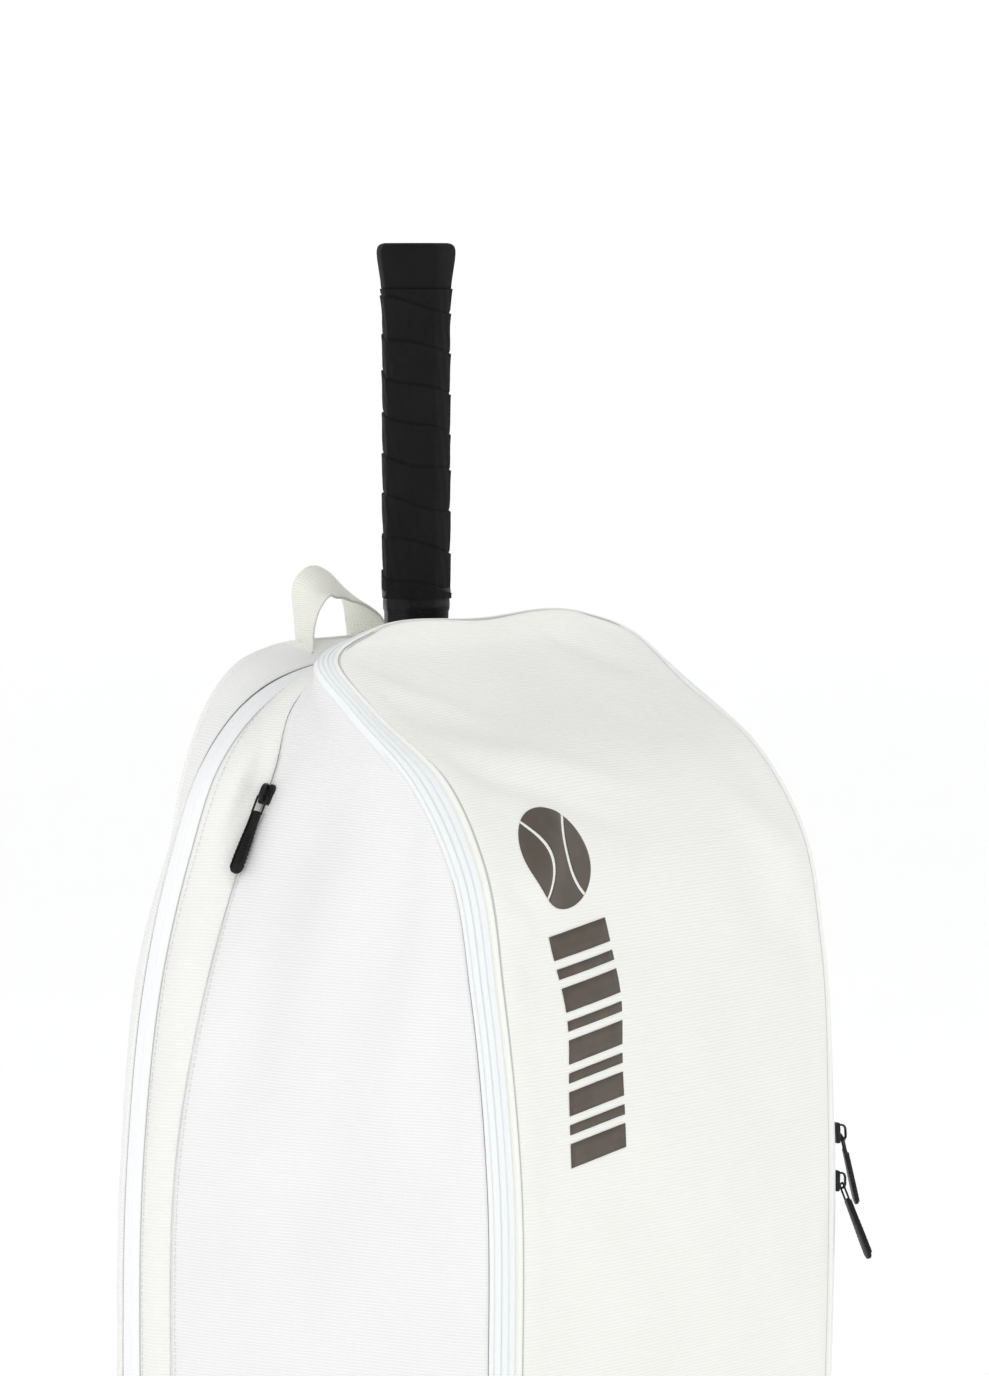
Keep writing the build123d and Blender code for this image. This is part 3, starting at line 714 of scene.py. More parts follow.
# ---- back panel
values = STATION[rows(0, 9)]
edge = edge_r[rows(0, 9)]
shares = np.linspace(-1, 1, 90)
back = np.zeros((len(values), len(shares), 3))
back[..., 0] = abs(edge[:, 0])[:, None] * shares[None, :]
back[..., 1] = edge[:, 1][:, None] + 0.2
back[..., 2] = edge[:, 2][:, None] + smoothstep(8, 9, values)[:, None] * 2.0 * (1 - shares[None, :] ** 2)
from_edge = (1 - abs(shares))[None, :] * abs(edge[:, :1])
back[..., 1] += -0.8 * hump(from_edge, 0, 2.0) + 0.5 * smoothstep(0, 20, from_edge)
back[..., 1] += 0.25 * waves(back, 21, 80) * smoothstep(0, 20, from_edge)
cloth_sheet("back_panel_cloth", back, [MAT["back"]], PANEL_CLOTH, "bag", "back_fabric", "back_panel")

# ---- base, board and dividers
BASE_REACH = 130.0         # from the middle of the base to its edge


def footprint_line(inset):
    """The base outline as a closed run of points, drawn in by a distance."""
    right = [(arch[0][0], arch[0][1], 0) for arch in (ARCH_F, ARCH_G, ARCH_D, ARCH_B, ARCH_A, ARCH_R)]
    corners = np.array(right + [(-x, y, z) for x, y, z in reversed(right)], float)
    line = softened_loop(corners, 12, 10)
    middle = line.mean(axis=0)
    return middle + (line - middle) * (1 - inset / BASE_REACH)


def base_panel():
    """The bottom: a coated panel with a raised seam all round."""
    rings = [(0.0, 4.0), (0.0, 2.2), (1.0, 0.9), (3.0, 0.1), (7.0, 0.1), (8.5, 0.7), (10, 0.7), (11.5, 0.0),
             (30, 0.0), (60, 0.0), (90, 0.0), (120, 0.0), (129.5, 0.0)]
    grid = np.array([footprint_line(inset) for inset, _ in rings])
    grid[..., 2] = np.array([z for _, z in rings])[:, None]
    faces = [face[::-1] for face in grid_faces(grid.shape[0], grid.shape[1], wrap=True)]
    obj = make_object("bottom_cloth", grid, faces, [MAT["base"]], grid.reshape(-1, 3)[:, :2] * MM)
    thicken(obj, 1.5)
    finish_piece(obj, "bag", "base_fabric", "bottom_panel")


base_panel()


def padded_board(name, y, top, node):
    """A flat divider with bound edges that follows the gussets' inside."""
    arch = [(x - 14, z) for x, _, z in ARCH_D if z < top - 12 and x > 30]
    outline = [(arch[0][0], 8.0)] + arch[1:] + [(arch[-1][0] - 16, top)]
    outline = outline + [(-x, z) for x, z in reversed(outline)]
    line = softened_loop(np.array([(x, y, z) for x, z in outline], float), 8, 5)
    middle = np.array([0, y, 0.5 * top])
    rings = []
    for share, depth in ((1.0, 0.0), (1.0, 0.9), (0.985, 1.5), (0.96, 1.2), (0.93, 1.45), (0.6, 1.45),
                         (0.3, 1.45), (0.004, 1.45)):
        ring = middle + (line - middle) * share
        ring[:, 1] = y - depth
        rings.append(ring)
    front = np.array(rings)
    rear = front.copy()
    rear[..., 1] = 2 * y - rear[..., 1]
    grid = np.concatenate([rear[::-1], front[1:]])
    faces = grid_faces(grid.shape[0], grid.shape[1], wrap=True)
    obj = make_object(name, grid, faces, [MAT["lining"]], lying_uvs(grid))
    finish_piece(obj, "bag", "lining", node)


padded_board("front_divider_padded", 12.5, 440, "front_divider")
padded_board("rear_divider_padded", 69.0, 446, "rear_divider")
board_object = frame["nodes"]["base_board"]
board_object.data.materials.clear()
board_object.data.materials.append(MAT["board"])

# ---- haul loop
# Centre line of the loop and the direction of its width, which turns a little from foot to foot.
LOOP = [(-28, 95, 484), (-28, 95, 496), (-25.5, 95, 507), (-20, 95, 515.5), (-11, 94.5, 519), (1, 94, 516),
        (12.5, 93, 508.5), (20.5, 92, 497.5), (23, 92, 484)]
LOOP_WIDE = [(0.555, 0.83, 0), (0.52, 0.85, 0.06), (0.42, 0.88, 0.3), (0.25, 0.83, 0.55), (0.1, 0.76, 0.66),
             (0.15, 0.78, 0.6), (0.2, 0.92, 0.3), (-0.04, 1, 0.05), (-0.06, 1, 0)]
LOOP_SAMPLES = 14          # points in each stretch of the loop
wide = spline(LOOP_WIDE, np.linspace(0, len(LOOP) - 1, (len(LOOP) - 1) * LOOP_SAMPLES + 1))
ribbon("haul_loop_webbing", LOOP, 25, 2.0, wide, 0.14, ["haul_loop"], LOOP_SAMPLES)

# ---- racket
RACKET_Y = 44.0
HEAD_Z = 184.5
HALF_WIDTH = 130.0
HALF_LENGTH = 172.0
TUBE_HALF = 5.5            # half of the frame tube's width
GUARD_TURN = 2.05          # how far the bumper guard reaches round the head each way, in radians
MAIN_GAP = 12.6
CROSS_GAP = 15.2


def racket_ring(turn, spread):
    """Points round the head; turn 0 is its lowest point."""
    return np.stack([(HALF_WIDTH + spread) * np.sin(turn), np.full(len(turn), RACKET_Y),
                     HEAD_Z - (HALF_LENGTH + spread) * np.cos(turn)], axis=1)


def frame_tube(path, wide, deep, scales=None, closed=False):
    """A tube with a flat outer face, carried along a path in the racket's plane."""
    through, outward = frames_along(path, (0, 1, 0), closed)
    return swept(path, outward, through, section(wide, deep, 20, 0.75, 0.9), scales, closed)


ring = racket_ring(np.linspace(0, 2 * math.pi, 120, endpoint=False), -TUBE_HALF)
parts = [frame_tube(ring, 11, 22, closed=True)]
for side_sign in (-1, 1):
    route = [(side_sign * x, RACKET_Y, z) for x, z in ((92, 300), (72, 335), (45, 385), (20, 435), (8, 468),
                                                       (6.6, 500))]
    path = spline(route, np.linspace(0, len(route) - 1, 61))
    parts.append(frame_tube(path, 12.5 * 1.05, 21))
points, faces = merged(parts)
racket = make_object("racket_frame_lacquered", points, faces, [MAT["lacquer"]])
finish_piece(racket, "racket", "racket_paint", "racket_frame")

turn = np.linspace(-GUARD_TURN, GUARD_TURN, 90)
ends = smoothstep(0, 0.25, GUARD_TURN - abs(turn))
scales = np.stack([0.3 + 0.7 * ends, 0.6 + 0.4 * ends], axis=1)
points, faces = frame_tube(racket_ring(turn, 0.4), 4.2, 13, scales)
guard = make_object("bumper_guard_moulded", points, faces, [MAT["nylon"]])
finish_piece(guard, "racket", "racket_plastic", "bumper_guard")


def string_bed():
    """Mains and crosses that pass over and under each other."""
    parts = []
    bed_x = HALF_WIDTH - 9
    bed_z = HALF_LENGTH - 9
    rise = 0.62
    for index, x in enumerate((k - 7.5) * MAIN_GAP for k in range(16)):
        reach = bed_z * math.sqrt(1 - (x / bed_x) ** 2)
        z = np.linspace(-reach, reach, 150)
        weave = rise * np.cos((z / CROSS_GAP + index) * math.pi)
        path = np.stack([np.full(150, x), RACKET_Y + weave, HEAD_Z + z], axis=1)
        parts.append(tube(path, 0.65, (1, 0, 0), 6))
    for index, z in enumerate((k - 9) * CROSS_GAP for k in range(19)):
        reach = bed_x * math.sqrt(1 - (z / bed_z) ** 2)
        x = np.linspace(-reach, reach, 150)
        weave = -rise * np.cos(((x / MAIN_GAP + 0.5) + index + 1) * math.pi)
        path = np.stack([x, RACKET_Y + weave, np.full(150, HEAD_Z + z)], axis=1)
        parts.append(tube(path, 0.65, (0, 0, 1), 6))
    points, faces = merged(parts)
    return make_object("strings_woven", points, faces, [MAT["string"]])


finish_piece(string_bed(), "racket", "racket_string", "string_bed")

GRIP_Z = 512.0
BUTT_Z = 671.0
TIP_Z = 695.0
WRAP_PITCH = 20.5


def octagon_radius(angles, flats, rounding=0.45):
    """Radius of a soft-cornered octagon whose flats face the axes."""
    local = (angles + math.pi / 8) % (math.pi / 4) - math.pi / 8
    sharp = flats / 2 / np.cos(local)
    return sharp * (1 - rounding) + (flats / 2 * 1.035) * rounding


def handle_flats(z):
    """Width of the wrapped handle across its flats at a height: straight, then flared at the butt."""
    flare = smoothstep(BUTT_Z - 16, TIP_Z - 7, z)
    return 34.2 + 5.2 * flare + 0.5 * smoothstep(GRIP_Z + 30, GRIP_Z, z)


def wrap_grip():
    """The spiral wrap: each turn thickens towards its free edge, which steps down onto the next turn."""
    angles = np.linspace(0, 2 * math.pi, 128, endpoint=False)
    zz, aa = np.meshgrid(np.linspace(GRIP_Z, BUTT_Z + 0.5, 520), angles, indexing="ij")
    wobble = 0.9 * np.sin(3 * aa + zz / 17) + 0.6 * np.sin(zz / 9 + 2 * aa)
    phase = (zz - GRIP_Z + WRAP_PITCH * aa / (2 * math.pi) + wobble) / WRAP_PITCH % 1.0
    ramp = 0.75 * phase ** 1.4 - 0.75 * smoothstep(0.955, 1.0, phase)
    crease = -0.45 * hump(phase, 0.0, 0.035) - 0.45 * hump(phase, 1.0, 0.02)
    dent = -0.14 * hump(phase, 0.45, 0.1) * (0.5 + 0.5 * np.sin(8 * aa))
    radius = octagon_radius(aa, handle_flats(zz)) - 0.35 + ramp + crease + dent
    radius += 0.12 * np.sin(zz / 3.1 + 5 * np.sin(aa)) + 0.1 * np.sin(17 * aa + zz / 5)
    grid = np.stack([radius * np.cos(aa), RACKET_Y + radius * np.sin(aa), zz], axis=2)
    uvs = np.stack([zz, aa * 17.5], axis=2).reshape(-1, 2) * MM
    faces = [face[::-1] for face in tube_faces(520, 128)]
    obj = make_object("overgrip_spiral", grid, faces, [MAT["grip"]], uvs)
    finish_piece(obj, "racket", "overgrip", "overgrip")


wrap_grip()


def turned(name, profile, octagonal, material, slot, node, count=96):
    """A piece turned round the handle's axis from (radius, z) pairs; octagonal is 0 for a round one."""
    angles = np.linspace(0, 2 * math.pi, count, endpoint=False)
    shape = octagonal * octagon_radius(angles, 2.0, 0.4) + (1 - octagonal)
    grid = np.array([np.stack([radius * shape * np.cos(angles), RACKET_Y + radius * shape * np.sin(angles),
                               np.full(count, float(z))], axis=1) for radius, z in profile])
    faces = [face[::-1] for face in grid_faces(len(profile), count, wrap=True)]
    finish_piece(make_object(name, grid, faces, [material]), "racket", slot, node)


turned("butt_cap_flared",
       [(17.0, 671), (17.6, 672), (18.0, 676), (18.6, 680), (19.2, 684), (19.6, 687), (19.8, 689.5),
        (19.75, 691.5), (19.2, 693.3), (18.0, 694.4), (16.0, 695), (13.5, 695), (13.0, 694.2), (12.6, 694.0),
        (6, 694.1), (0.05, 694.1)], 0.9, MAT["butt"], "butt_rubber", "butt_cap")
turned("collar_glossy",
       [(14.6, 496.5), (15.6, 497), (16.1, 498.5), (16.3, 501), (16.35, 505), (16.9, 506.5), (17.0, 509),
        (16.9, 512), (17.2, 513), (17.5, 515.5), (17.3, 517.5)], 0.7, MAT["collar"], "collar_rubber",
       "grip_collar")
turned("pallet_core", [(14.3, 470), (14.5, 497), (14.5, 688), (12, 690.5), (0.05, 691)], 0.9, MAT["foam"],
       "pallet_foam", "handle_pallet")

# ---- zip sliders and pulls, in a slider's own (out, across, along) directions
JOINTS = {joint["name"]: joint for joint in frame["joints"]}
LINK_HEIGHT = 4.7
LINK_AXIS = -1.8
LINK_LENGTH = 11.5
LINK_RADIUS = 0.55
GRIP_LENGTH = 34.0
FRONT_LEAN = 15            # degrees that the front pulls stand off the band
# Half of the slider's body from its lower end up, as (across, along).
SLIDER_HALF = [(2.4, -5.5), (3.1, -5.2), (3.4, -3.5), (3.6, 0), (4.0, 2.2), (3.9, 4.2), (3.0, 5.4),
               (1.2, 5.5)]
HOOP = [(2.9, 0, -4.0), (4.6, 0, -4.1), (6.0, 0, -3.6), (6.7, 0, -2.4), (6.8, 0, 0), (6.7, 0, 2.2),
        (6.0, 0, 3.5), (4.6, 0, 4.0), (2.9, 0, 3.9)]
OUT = np.array([1.0, 0, 0])


def outline_plate(outline, low, high, bevel):
    """A plate from a (v, w) outline between two heights, its edges rounded by drawn-in rings."""
    outline = np.array(outline, float)
    middle = outline.mean(axis=0)
    size = abs(outline - middle).max(axis=0)
    loops = []
    for height, inset in ((low, bevel), (low + bevel * 0.3, bevel * 0.3), (low + bevel, 0), (high - bevel, 0),
                          (high - bevel * 0.3, bevel * 0.3), (high, bevel)):
        loop = middle + (outline - middle) * (1 - inset / size)
        loops.append(np.column_stack([np.full(len(loop), height), loop]))
    return np.vstack(loops), tube_faces(len(loops), len(outline))


def bar(path, wide, thick):
    """A flat-sided rounded bar along a local path."""
    side, normal = frames_along(path, (0, 1, 0))
    return swept(path, side, normal, section(wide, thick, 10, 0.6, 0.6))


def slider_pieces():
    outline = SLIDER_HALF + [(0, 4.6)] + [(-v, w) for v, w in reversed(SLIDER_HALF)]
    plate = outline_plate(outline, 0.9, 3.2, 0.5)
    hoop = bar(spline(HOOP, np.linspace(0, len(HOOP) - 1, 41)), 2.6, 1.1)
    lip = outline_plate(rounded_outline(1.9, -4.6, 4.4, 0.9), 3.0, 3.7, 0.3)
    return merged([plate, hoop, lip])


def link_pieces():
    """The wire link between the hoop and the pull: a rounded rectangle whose last ring meets its first."""
    corners = rounded_outline(2.9, LINK_AXIS - LINK_LENGTH + 1.0, LINK_AXIS + 0.05, 1.3, 6)[::-1]
    corners = corners[12:] + corners[:12]
    path = [(LINK_HEIGHT, 0, LINK_AXIS + 0.05)] + [(LINK_HEIGHT, v, w) for v, w in corners]
    path = np.array(path + path[:1])
    out, side = frames_along(path, OUT)
    sides = 12
    grid = carried(path, side, out, section(2 * LINK_RADIUS, 2 * LINK_RADIUS, sides))
    return grid.reshape(-1, 3), grid_faces(len(path), sides, wrap=True)


def grip_pieces():
    """A tapered pull: narrow neck, serrated edges, a raised rim and ribs, rounded end."""
    top = LINK_AXIS - LINK_LENGTH + 3.0
    levels = np.linspace(0, 1, 70)
    half = 2.3 + 1.15 * smoothstep(0.05, 0.8, levels)
    half = half * np.sqrt(np.clip(1 - np.clip((levels - 0.88) / 0.12, 0, 1) ** 2, 0.0, 1)) + 0.25
    half = half * smoothstep(-0.03, 0.02, levels)
    toothed = smoothstep(0.25, 0.32, levels) * (1 - smoothstep(0.86, 0.9, levels))
    half = half + 0.22 * np.cos(levels * 2 * math.pi * 15) * toothed
    heights = top - levels * GRIP_LENGTH
    outline = list(zip(half, heights)) + list(zip(-half[::-1], heights[::-1]))
    pieces = [outline_plate(outline, LINK_HEIGHT - 1.1, LINK_HEIGHT + 0.9, 0.45)]
    shares = np.linspace(0.04, 0.93, 40)
    for side in (-1, 1):
        rim = np.stack([np.full(40, LINK_HEIGHT + 0.95), side * np.interp(shares, levels, half * 0.82),
                        top - shares * GRIP_LENGTH], axis=1)
        pieces.append(bar(rim, 0.7, 1.0))
    for k in range(11):
        share = 0.36 + k * 0.045
        reach = float(np.interp(share, levels, half)) * 0.62
        at = top - share * GRIP_LENGTH
        rib = [(LINK_HEIGHT + 0.9, -reach, at), (LINK_HEIGHT + 1.05, 0, at - 0.35),
               (LINK_HEIGHT + 0.9, reach, at)]
        rib = spline(rib, np.linspace(0, 2, 9))
        side = np.cross(unit(np.gradient(rib, axis=0)), OUT)
        pieces.append(swept(rib, side, OUT, section(0.84, 0.84, 8)))
    return merged(pieces)


def add_slider(name):
    travel = JOINTS[name + "_travel"]
    swing = JOINTS[name + "_pull_swing"]
    along = unit(np.array(travel["axis"], float))
    along = along if along[2] > 0 else -along
    tilted_across = -unit(np.array(swing["axis"], float))
    out = unit(np.cross(tilted_across, along))
    straight = np.array([out, np.cross(along, out), along])
    lean = math.radians(FRONT_LEAN if name.startswith("front_zip") else 0)
    tilted_along = np.cross(out, tilted_across)
    tilted = np.array([out * math.cos(lean) + tilted_along * math.sin(lean), tilted_across,
                       tilted_along * math.cos(lean) - out * math.sin(lean)])
    pivot = np.array(swing["pos_m"], float) / MM
    for kind, pieces, axes, body, slot, material in (
            ("slider", slider_pieces(), straight, name + "_slider", "zip_metal", MAT["slider"]),
            ("link", link_pieces(), tilted, name + "_pull", "pull_link", MAT["slider"]),
            ("grip", grip_pieces(), tilted, name + "_pull", "pull_rubber", MAT["pull"])):
        points, faces = pieces
        points = points @ axes + pivot - axes[0] * LINK_HEIGHT - axes[2] * LINK_AXIS
        obj = make_object(f"{name}_{kind}_moulded", points, faces, [material])
        finish_piece(obj, body, slot, f"{name}_{kind}")


for zip_name in ("racket_zip_left", "racket_zip_right", "front_zip_upper", "front_zip_lower",
                 "main_zip_upper", "main_zip_lower"):
    add_slider(zip_name)

# ---- puffed pieces
def mesh_places(mesh):
    """The points of a mesh, in metres."""
    places = np.zeros(len(mesh.vertices) * 3, np.float32)
    mesh.vertices.foreach_get("co", places)
    return places.reshape(-1, 3)


def set_mesh_places(mesh, places):
    mesh.vertices.foreach_set("co", places.ravel())
    mesh.update()


PUFF_VOXEL = 2.4
PUFF_PRESSURE = 4.0
PUFF_FRAMES = 20
PUFF_CAP = 1.4             # no point moves further than this


def puffed(obj):
    """Remeshes a closed fabric piece and lets cloth under pressure fill it."""
    bpy.context.view_layer.objects.active = obj
    remesh = obj.modifiers.new("remesh", "REMESH")
    remesh.mode = "VOXEL"
    remesh.voxel_size = PUFF_VOXEL * MM
    shown = obj.evaluated_get(bpy.context.evaluated_depsgraph_get())
    mesh = bpy.data.meshes.new_from_object(shown)
    obj.modifiers.clear()
    obj.data = mesh
    start = mesh_places(mesh)
    cloth = obj.modifiers.new("cloth", "CLOTH")
    cloth.settings.use_pressure = True
    cloth.settings.uniform_pressure_force = PUFF_PRESSURE
    cloth.settings.effector_weights.gravity = 0
    cloth.settings.quality = 5
    cloth.settings.mass = 0.3
    cloth.point_cache.frame_start = 1
    cloth.point_cache.frame_end = PUFF_FRAMES
    for number in range(1, PUFF_FRAMES + 1):
        scene.frame_set(number)
    move = mesh_places(obj.evaluated_get(bpy.context.evaluated_depsgraph_get()).data) - start
    obj.modifiers.remove(cloth)
    scene.frame_set(1)
    far = np.linalg.norm(move, axis=1, keepdims=True)
    move *= np.minimum(1, PUFF_CAP * MM / np.maximum(far, 1e-9))
    mesh.polygons.foreach_set("use_smooth", [True] * len(mesh.polygons))
    set_mesh_places(mesh, start + move)
    smooth = obj.modifiers.new("subdivision", "SUBSURF")
    smooth.levels = 1
    smooth.render_levels = 1


# ---- back pads, lumbar pad and shoulder straps
def back_y(z):
    """Y of the back panel at a height."""
    return np.interp(z, [point[2] for point in ARCH_R], [point[1] for point in ARCH_R])


def sew_channels(obj, channels, depth):
    """Presses sewn channels into a pad's outer face, each a soft groove across it at a height."""
    places = mesh_places(obj.data)
    above = places[:, 1] / MM - back_y(places[:, 2] / MM)
    for channel in channels:
        groove = depth * hump(places[:, 2] / MM, channel, 3.4) * smoothstep(1.8, 4, above)
        places[:, 1] -= groove.astype(np.float32) * MM
    set_mesh_places(obj.data, places)


def binding(name, path, closed=False):
    """A bound edge: piping cloth over a cord."""
    bound = make_object(name, *tube(path, 1.7, closed=closed), [MAT["piping"]])
    finish_piece(bound, "bag", "band_fabric")


def back_pad(name, middle_x, half_x, low, high, node, channels):
    """A foam pad on the back panel: pillowed, with sewn channels across it and a bound edge."""
    half_z = (high - low) / 2
    middle_z = (high + low) / 2
    ring = rounded_outline(half_x, -half_z, half_z, min(18, half_x * 0.5), 14)
    layers = [(0.02, 0.0), (1.0, 0.0), (1.0, 2.6), (0.985, 3.2), (0.95, 3.8), (0.9, 4.2), (0.8, 4.5),
              (0.65, 4.7), (0.45, 4.8), (0.25, 4.8), (0.02, 4.8)]
    grid = np.array([[(middle_x + x * share, depth, middle_z + z * share) for x, z in ring]
                     for share, depth in layers])
    grid[..., 1] += back_y(grid[..., 2]) + 0.5
    faces = grid_faces(len(grid), grid.shape[1], wrap=True)
    obj = make_object(name, grid, faces, [MAT["air_mesh"]], lying_uvs(grid))
    puffed(obj)
    sew_channels(obj, channels, 3.2)
    finish_piece(obj, "bag", "air_mesh", node)
    edge = np.array([(middle_x + x, 0, middle_z + z) for x, z in ring])
    edge[:, 1] = back_y(edge[:, 2]) + 1.9
    binding(name + "_binding", edge, closed=True)


back_pad("back_pad_left_mesh", -58, 37, 151, 414, "back_pad_left", (204, 257, 310, 362))
back_pad("back_pad_right_mesh", 58, 37, 151, 414, "back_pad_right", (204, 257, 310, 362))
back_pad("lumbar_pad_mesh", 0, 91, 41, 131, "lumbar_pad", (71, 101))

STRAP = [(38, 109, 462), (42, 115.5, 440), (52, 122, 400), (64, 130, 340), (73, 137, 280), (78, 139, 225)]
LOWER_WEB = [(80, 139, 196), (94, 140, 150), (108, 139, 100), (118, 137, 64)]
TAIL_WEB = [(76, 145, 200), (78, 146, 160), (80, 145, 120)]
WIDE_X = (1, 0, 0)


def mirrored(route, side):
    return [(side * x, y, z) for x, y, z in route]


def shoulder_strap(side, label):
    """A curved foam strap: air mesh with bound edges and a webbing spine."""
    path = spline(mirrored(STRAP, side), np.linspace(0, len(STRAP) - 1, 76))
    across, normal = frames_along(path, WIDE_X)
    normal = normal * np.where(normal[:, 1:2] < 0, -1, 1)
    run = run_along(path)
    share = run / run[-1]
    half = 25.5 * (1 - 0.42 * smoothstep(0.86, 1.0, share)) * (1 - 0.1 * smoothstep(0.06, 0, share))
    thick = 3.3 * (0.7 + 0.3 * smoothstep(0, 0.08, share) * (1 - smoothstep(0.95, 1.0, share)))
    points, faces = swept(path, across, normal, section(2, 2, 48, 0.45, 0.8), np.stack([half, thick], axis=1))
    obj = make_object(f"shoulder_strap_{label}_foam", points, faces, [MAT["air_mesh"]])
    puffed(obj)
    finish_piece(obj, "bag", "air_mesh", f"shoulder_strap_{label}")
    for edge_side, edge_label in ((-1, "in"), (1, "out")):
        edge = path[1:-1] + across[1:-1] * (edge_side * half[1:-1, None])
        binding(f"shoulder_strap_{label}_binding_{edge_label}", edge)
    spine = path[4:-2] + normal[4:-2] * (thick[4:-2, None] + 1.1)
    ribbon(f"shoulder_strap_{label}_spine", spine[::8], 25, 1.4, WIDE_X, 0.12, samples=8)


for side_sign, side_label in ((-1, "left"), (1, "right")):
    shoulder_strap(side_sign, side_label)
    ribbon(f"lower_webbing_{side_label}", mirrored(LOWER_WEB, side_sign), 25, 2.0, WIDE_X, 0.12,
           [f"strap_webbing_{side_label}"])
    ribbon(f"webbing_tail_{side_label}", mirrored(TAIL_WEB, side_sign), 24, 1.6, WIDE_X, 0.12,
           [f"strap_tail_{side_label}"])


# ---- anchors, ladder locks and wings
PATCH_DEPTH = 3.0


def stitched_patch(name, corners, y):
    """A folded fabric patch with a rolled edge and a line of stitches; corners are (x, z)."""
    line = softened_loop(np.array(corners, float), 10, 2)
    middle = np.mean(np.array(corners, float), axis=0)
    rings = []
    for share, rise in ((0.02, 0.0), (0.97, 0.0), (1.0, 0.25), (1.0, 0.75), (0.97, 1.0), (0.9, 0.9),
                        (0.85, 1.0), (0.4, 0.97), (0.02, 0.97)):
        ring = middle + (line - middle) * share
        rings.append(np.column_stack([ring[:, 0], np.full(len(ring), y + PATCH_DEPTH * rise), ring[:, 1]]))
    grid = np.array(rings)
    faces = grid_faces(len(rings), len(line), wrap=True)
    obj = make_object(name + "_patch", grid, faces, [MAT["back"]], lying_uvs(grid))
    finish_piece(obj, "bag", "side_fabric", name)
    seam = middle + (line - middle) * 0.86
    seam = np.column_stack([seam[:, 0], np.full(len(seam), y + PATCH_DEPTH + 0.1), seam[:, 1]])
    seam = np.vstack([seam, seam[:1]])
    outward = np.tile([0.0, 1.0, 0.0], (len(seam), 1))
    stitches(name + "_patch_stitches", seam, outward, 2.4, 1.0, 0.3, "side_fabric")


# The bars of a ladder lock: both ends, then width and thickness.
LOCK_BARS = [((-15, 0, 11), (15, 0, 11), 4.0, 4.6), ((-15, 0, 1.2), (15, 0, 1.2), 5.2, 4.2),
             ((-15, 0, -11), (15, 0, -11), 4.0, 4.6), ((-15.2, 0, -12), (-15.2, 0, 12), 3.6, 5.0),
             ((15.2, 0, -12), (15.2, 0, 12), 3.6, 5.0), ((-13, 2.6, -14.5), (13, 2.6, -14.5), 4.2, 1.8)]


def ladder_lock(side, label):
    """A moulded ladder lock: a frame with two webbing slots, rounded bars and a lifting lip."""
    centre = np.array([side * 79.0, 139.0, 211.0])
    steps = 12
    ends = np.ones((steps, 2))
    ends[[0, -1]] = 0.8
    pieces = []
    for start, end, wide, thick in LOCK_BARS:
        start = np.array(start, float)
        path = start + (np.array(end, float) - start) * np.linspace(0, 1, steps)[:, None]
        across = (1, 0, 0) if start[0] == end[0] else (0, 0, 1)
        pieces.append(swept(path + centre, across, (0, 1, 0), section(wide, thick, 16, 0.5, 0.5), ends))
    points, faces = merged(pieces)
    obj = make_object(f"ladder_lock_{label}_moulded", points, faces, [MAT["buckle"]])
    finish_piece(obj, "bag", "buckle_plastic", f"ladder_lock_{label}")


for side_sign, side_label in ((-1, "left"), (1, "right")):
    x = side_sign * 38
    stitched_patch(f"strap_anchor_{side_label}", [(x - 31, 463.5), (x + 31, 463.5), (x + 31, 476.5),
                                                  (x - 31, 476.5)], 104.0)
    stitched_patch(f"strap_wing_{side_label}", [(side_sign * 104, 60), (side_sign * 132, 60),
                                                (side_sign * 128, 22)], 135.8)
    ladder_lock(side_sign, side_label)

# ---- sewn seams: piping at the back edge and stitches by the zips
SEWN_FROM = 0.4            # station at which the zips' stitches start
piping = make_object("back_piping", *tube(edge_r[3:-3] + np.array([0, 0.6, 0]), 1.7), [MAT["rear"]])
finish_piece(piping, "bag", "band_fabric")
for name, seam, outward, last, slot in (
        ("racket_zip_stitches", side[:, -2], grid_normals(side)[:, -2], 6.4, "zip_tape"),
        ("main_zip_stitches", middle[:, -5], grid_normals(middle)[:, -5], 8.6, "side_fabric")):
    for label, stations in (("left", STATION), ("right", 2 * TOP - STATION)):
        shown = (stations > SEWN_FROM) & (stations < last)
        stitches(f"{name}_{label}", seam[shown] + outward[shown] * 0.15, outward[shown], 2.3, 1.1, 0.25, slot)


# ---- printed mark on the flap: a plain ball over a column of slanted bars
PRINT_X = -82.0            # middle of the print, across the flap
PRINT_BASE = 240.0         # heights of the print are measured along the cloth from here
MIDDLE_COLUMN = PANEL_COLUMNS // 2         # heights are measured on this column of the panel's mesh
panel_run = run_along(panel[:, MIDDLE_COLUMN])
panel_height = panel[:, MIDDLE_COLUMN, 2]
panel_normals = -grid_normals(panel)


def on_panel(points):
    """Points given as (x, height along the cloth) laid on the flap's surface."""
    start = np.interp(PRINT_BASE, panel_height, panel_run)
    row = np.interp(points[:, 1] + start, panel_run, np.arange(len(panel_run)))
    low = np.clip(np.floor(row).astype(int), 0, len(panel_run) - 2)
    part = (row - low)[:, None]
    result = []
    for (x, _), i, t in zip(points, low, part):
        line = panel[i] * (1 - t) + panel[i + 1] * t
        order = np.argsort(line[:, 0])
        xs = line[order, 0]
        normal = panel_normals[i][order]
        normal = unit(np.array([np.interp(x, xs, normal[:, k]) for k in range(3)]))
        normal = normal if normal[1] < 0 else -normal
        place = np.array([x, np.interp(x, xs, line[order, 1]), np.interp(x, xs, line[order, 2])])
        result.append(place + normal * 0.22)
    return result


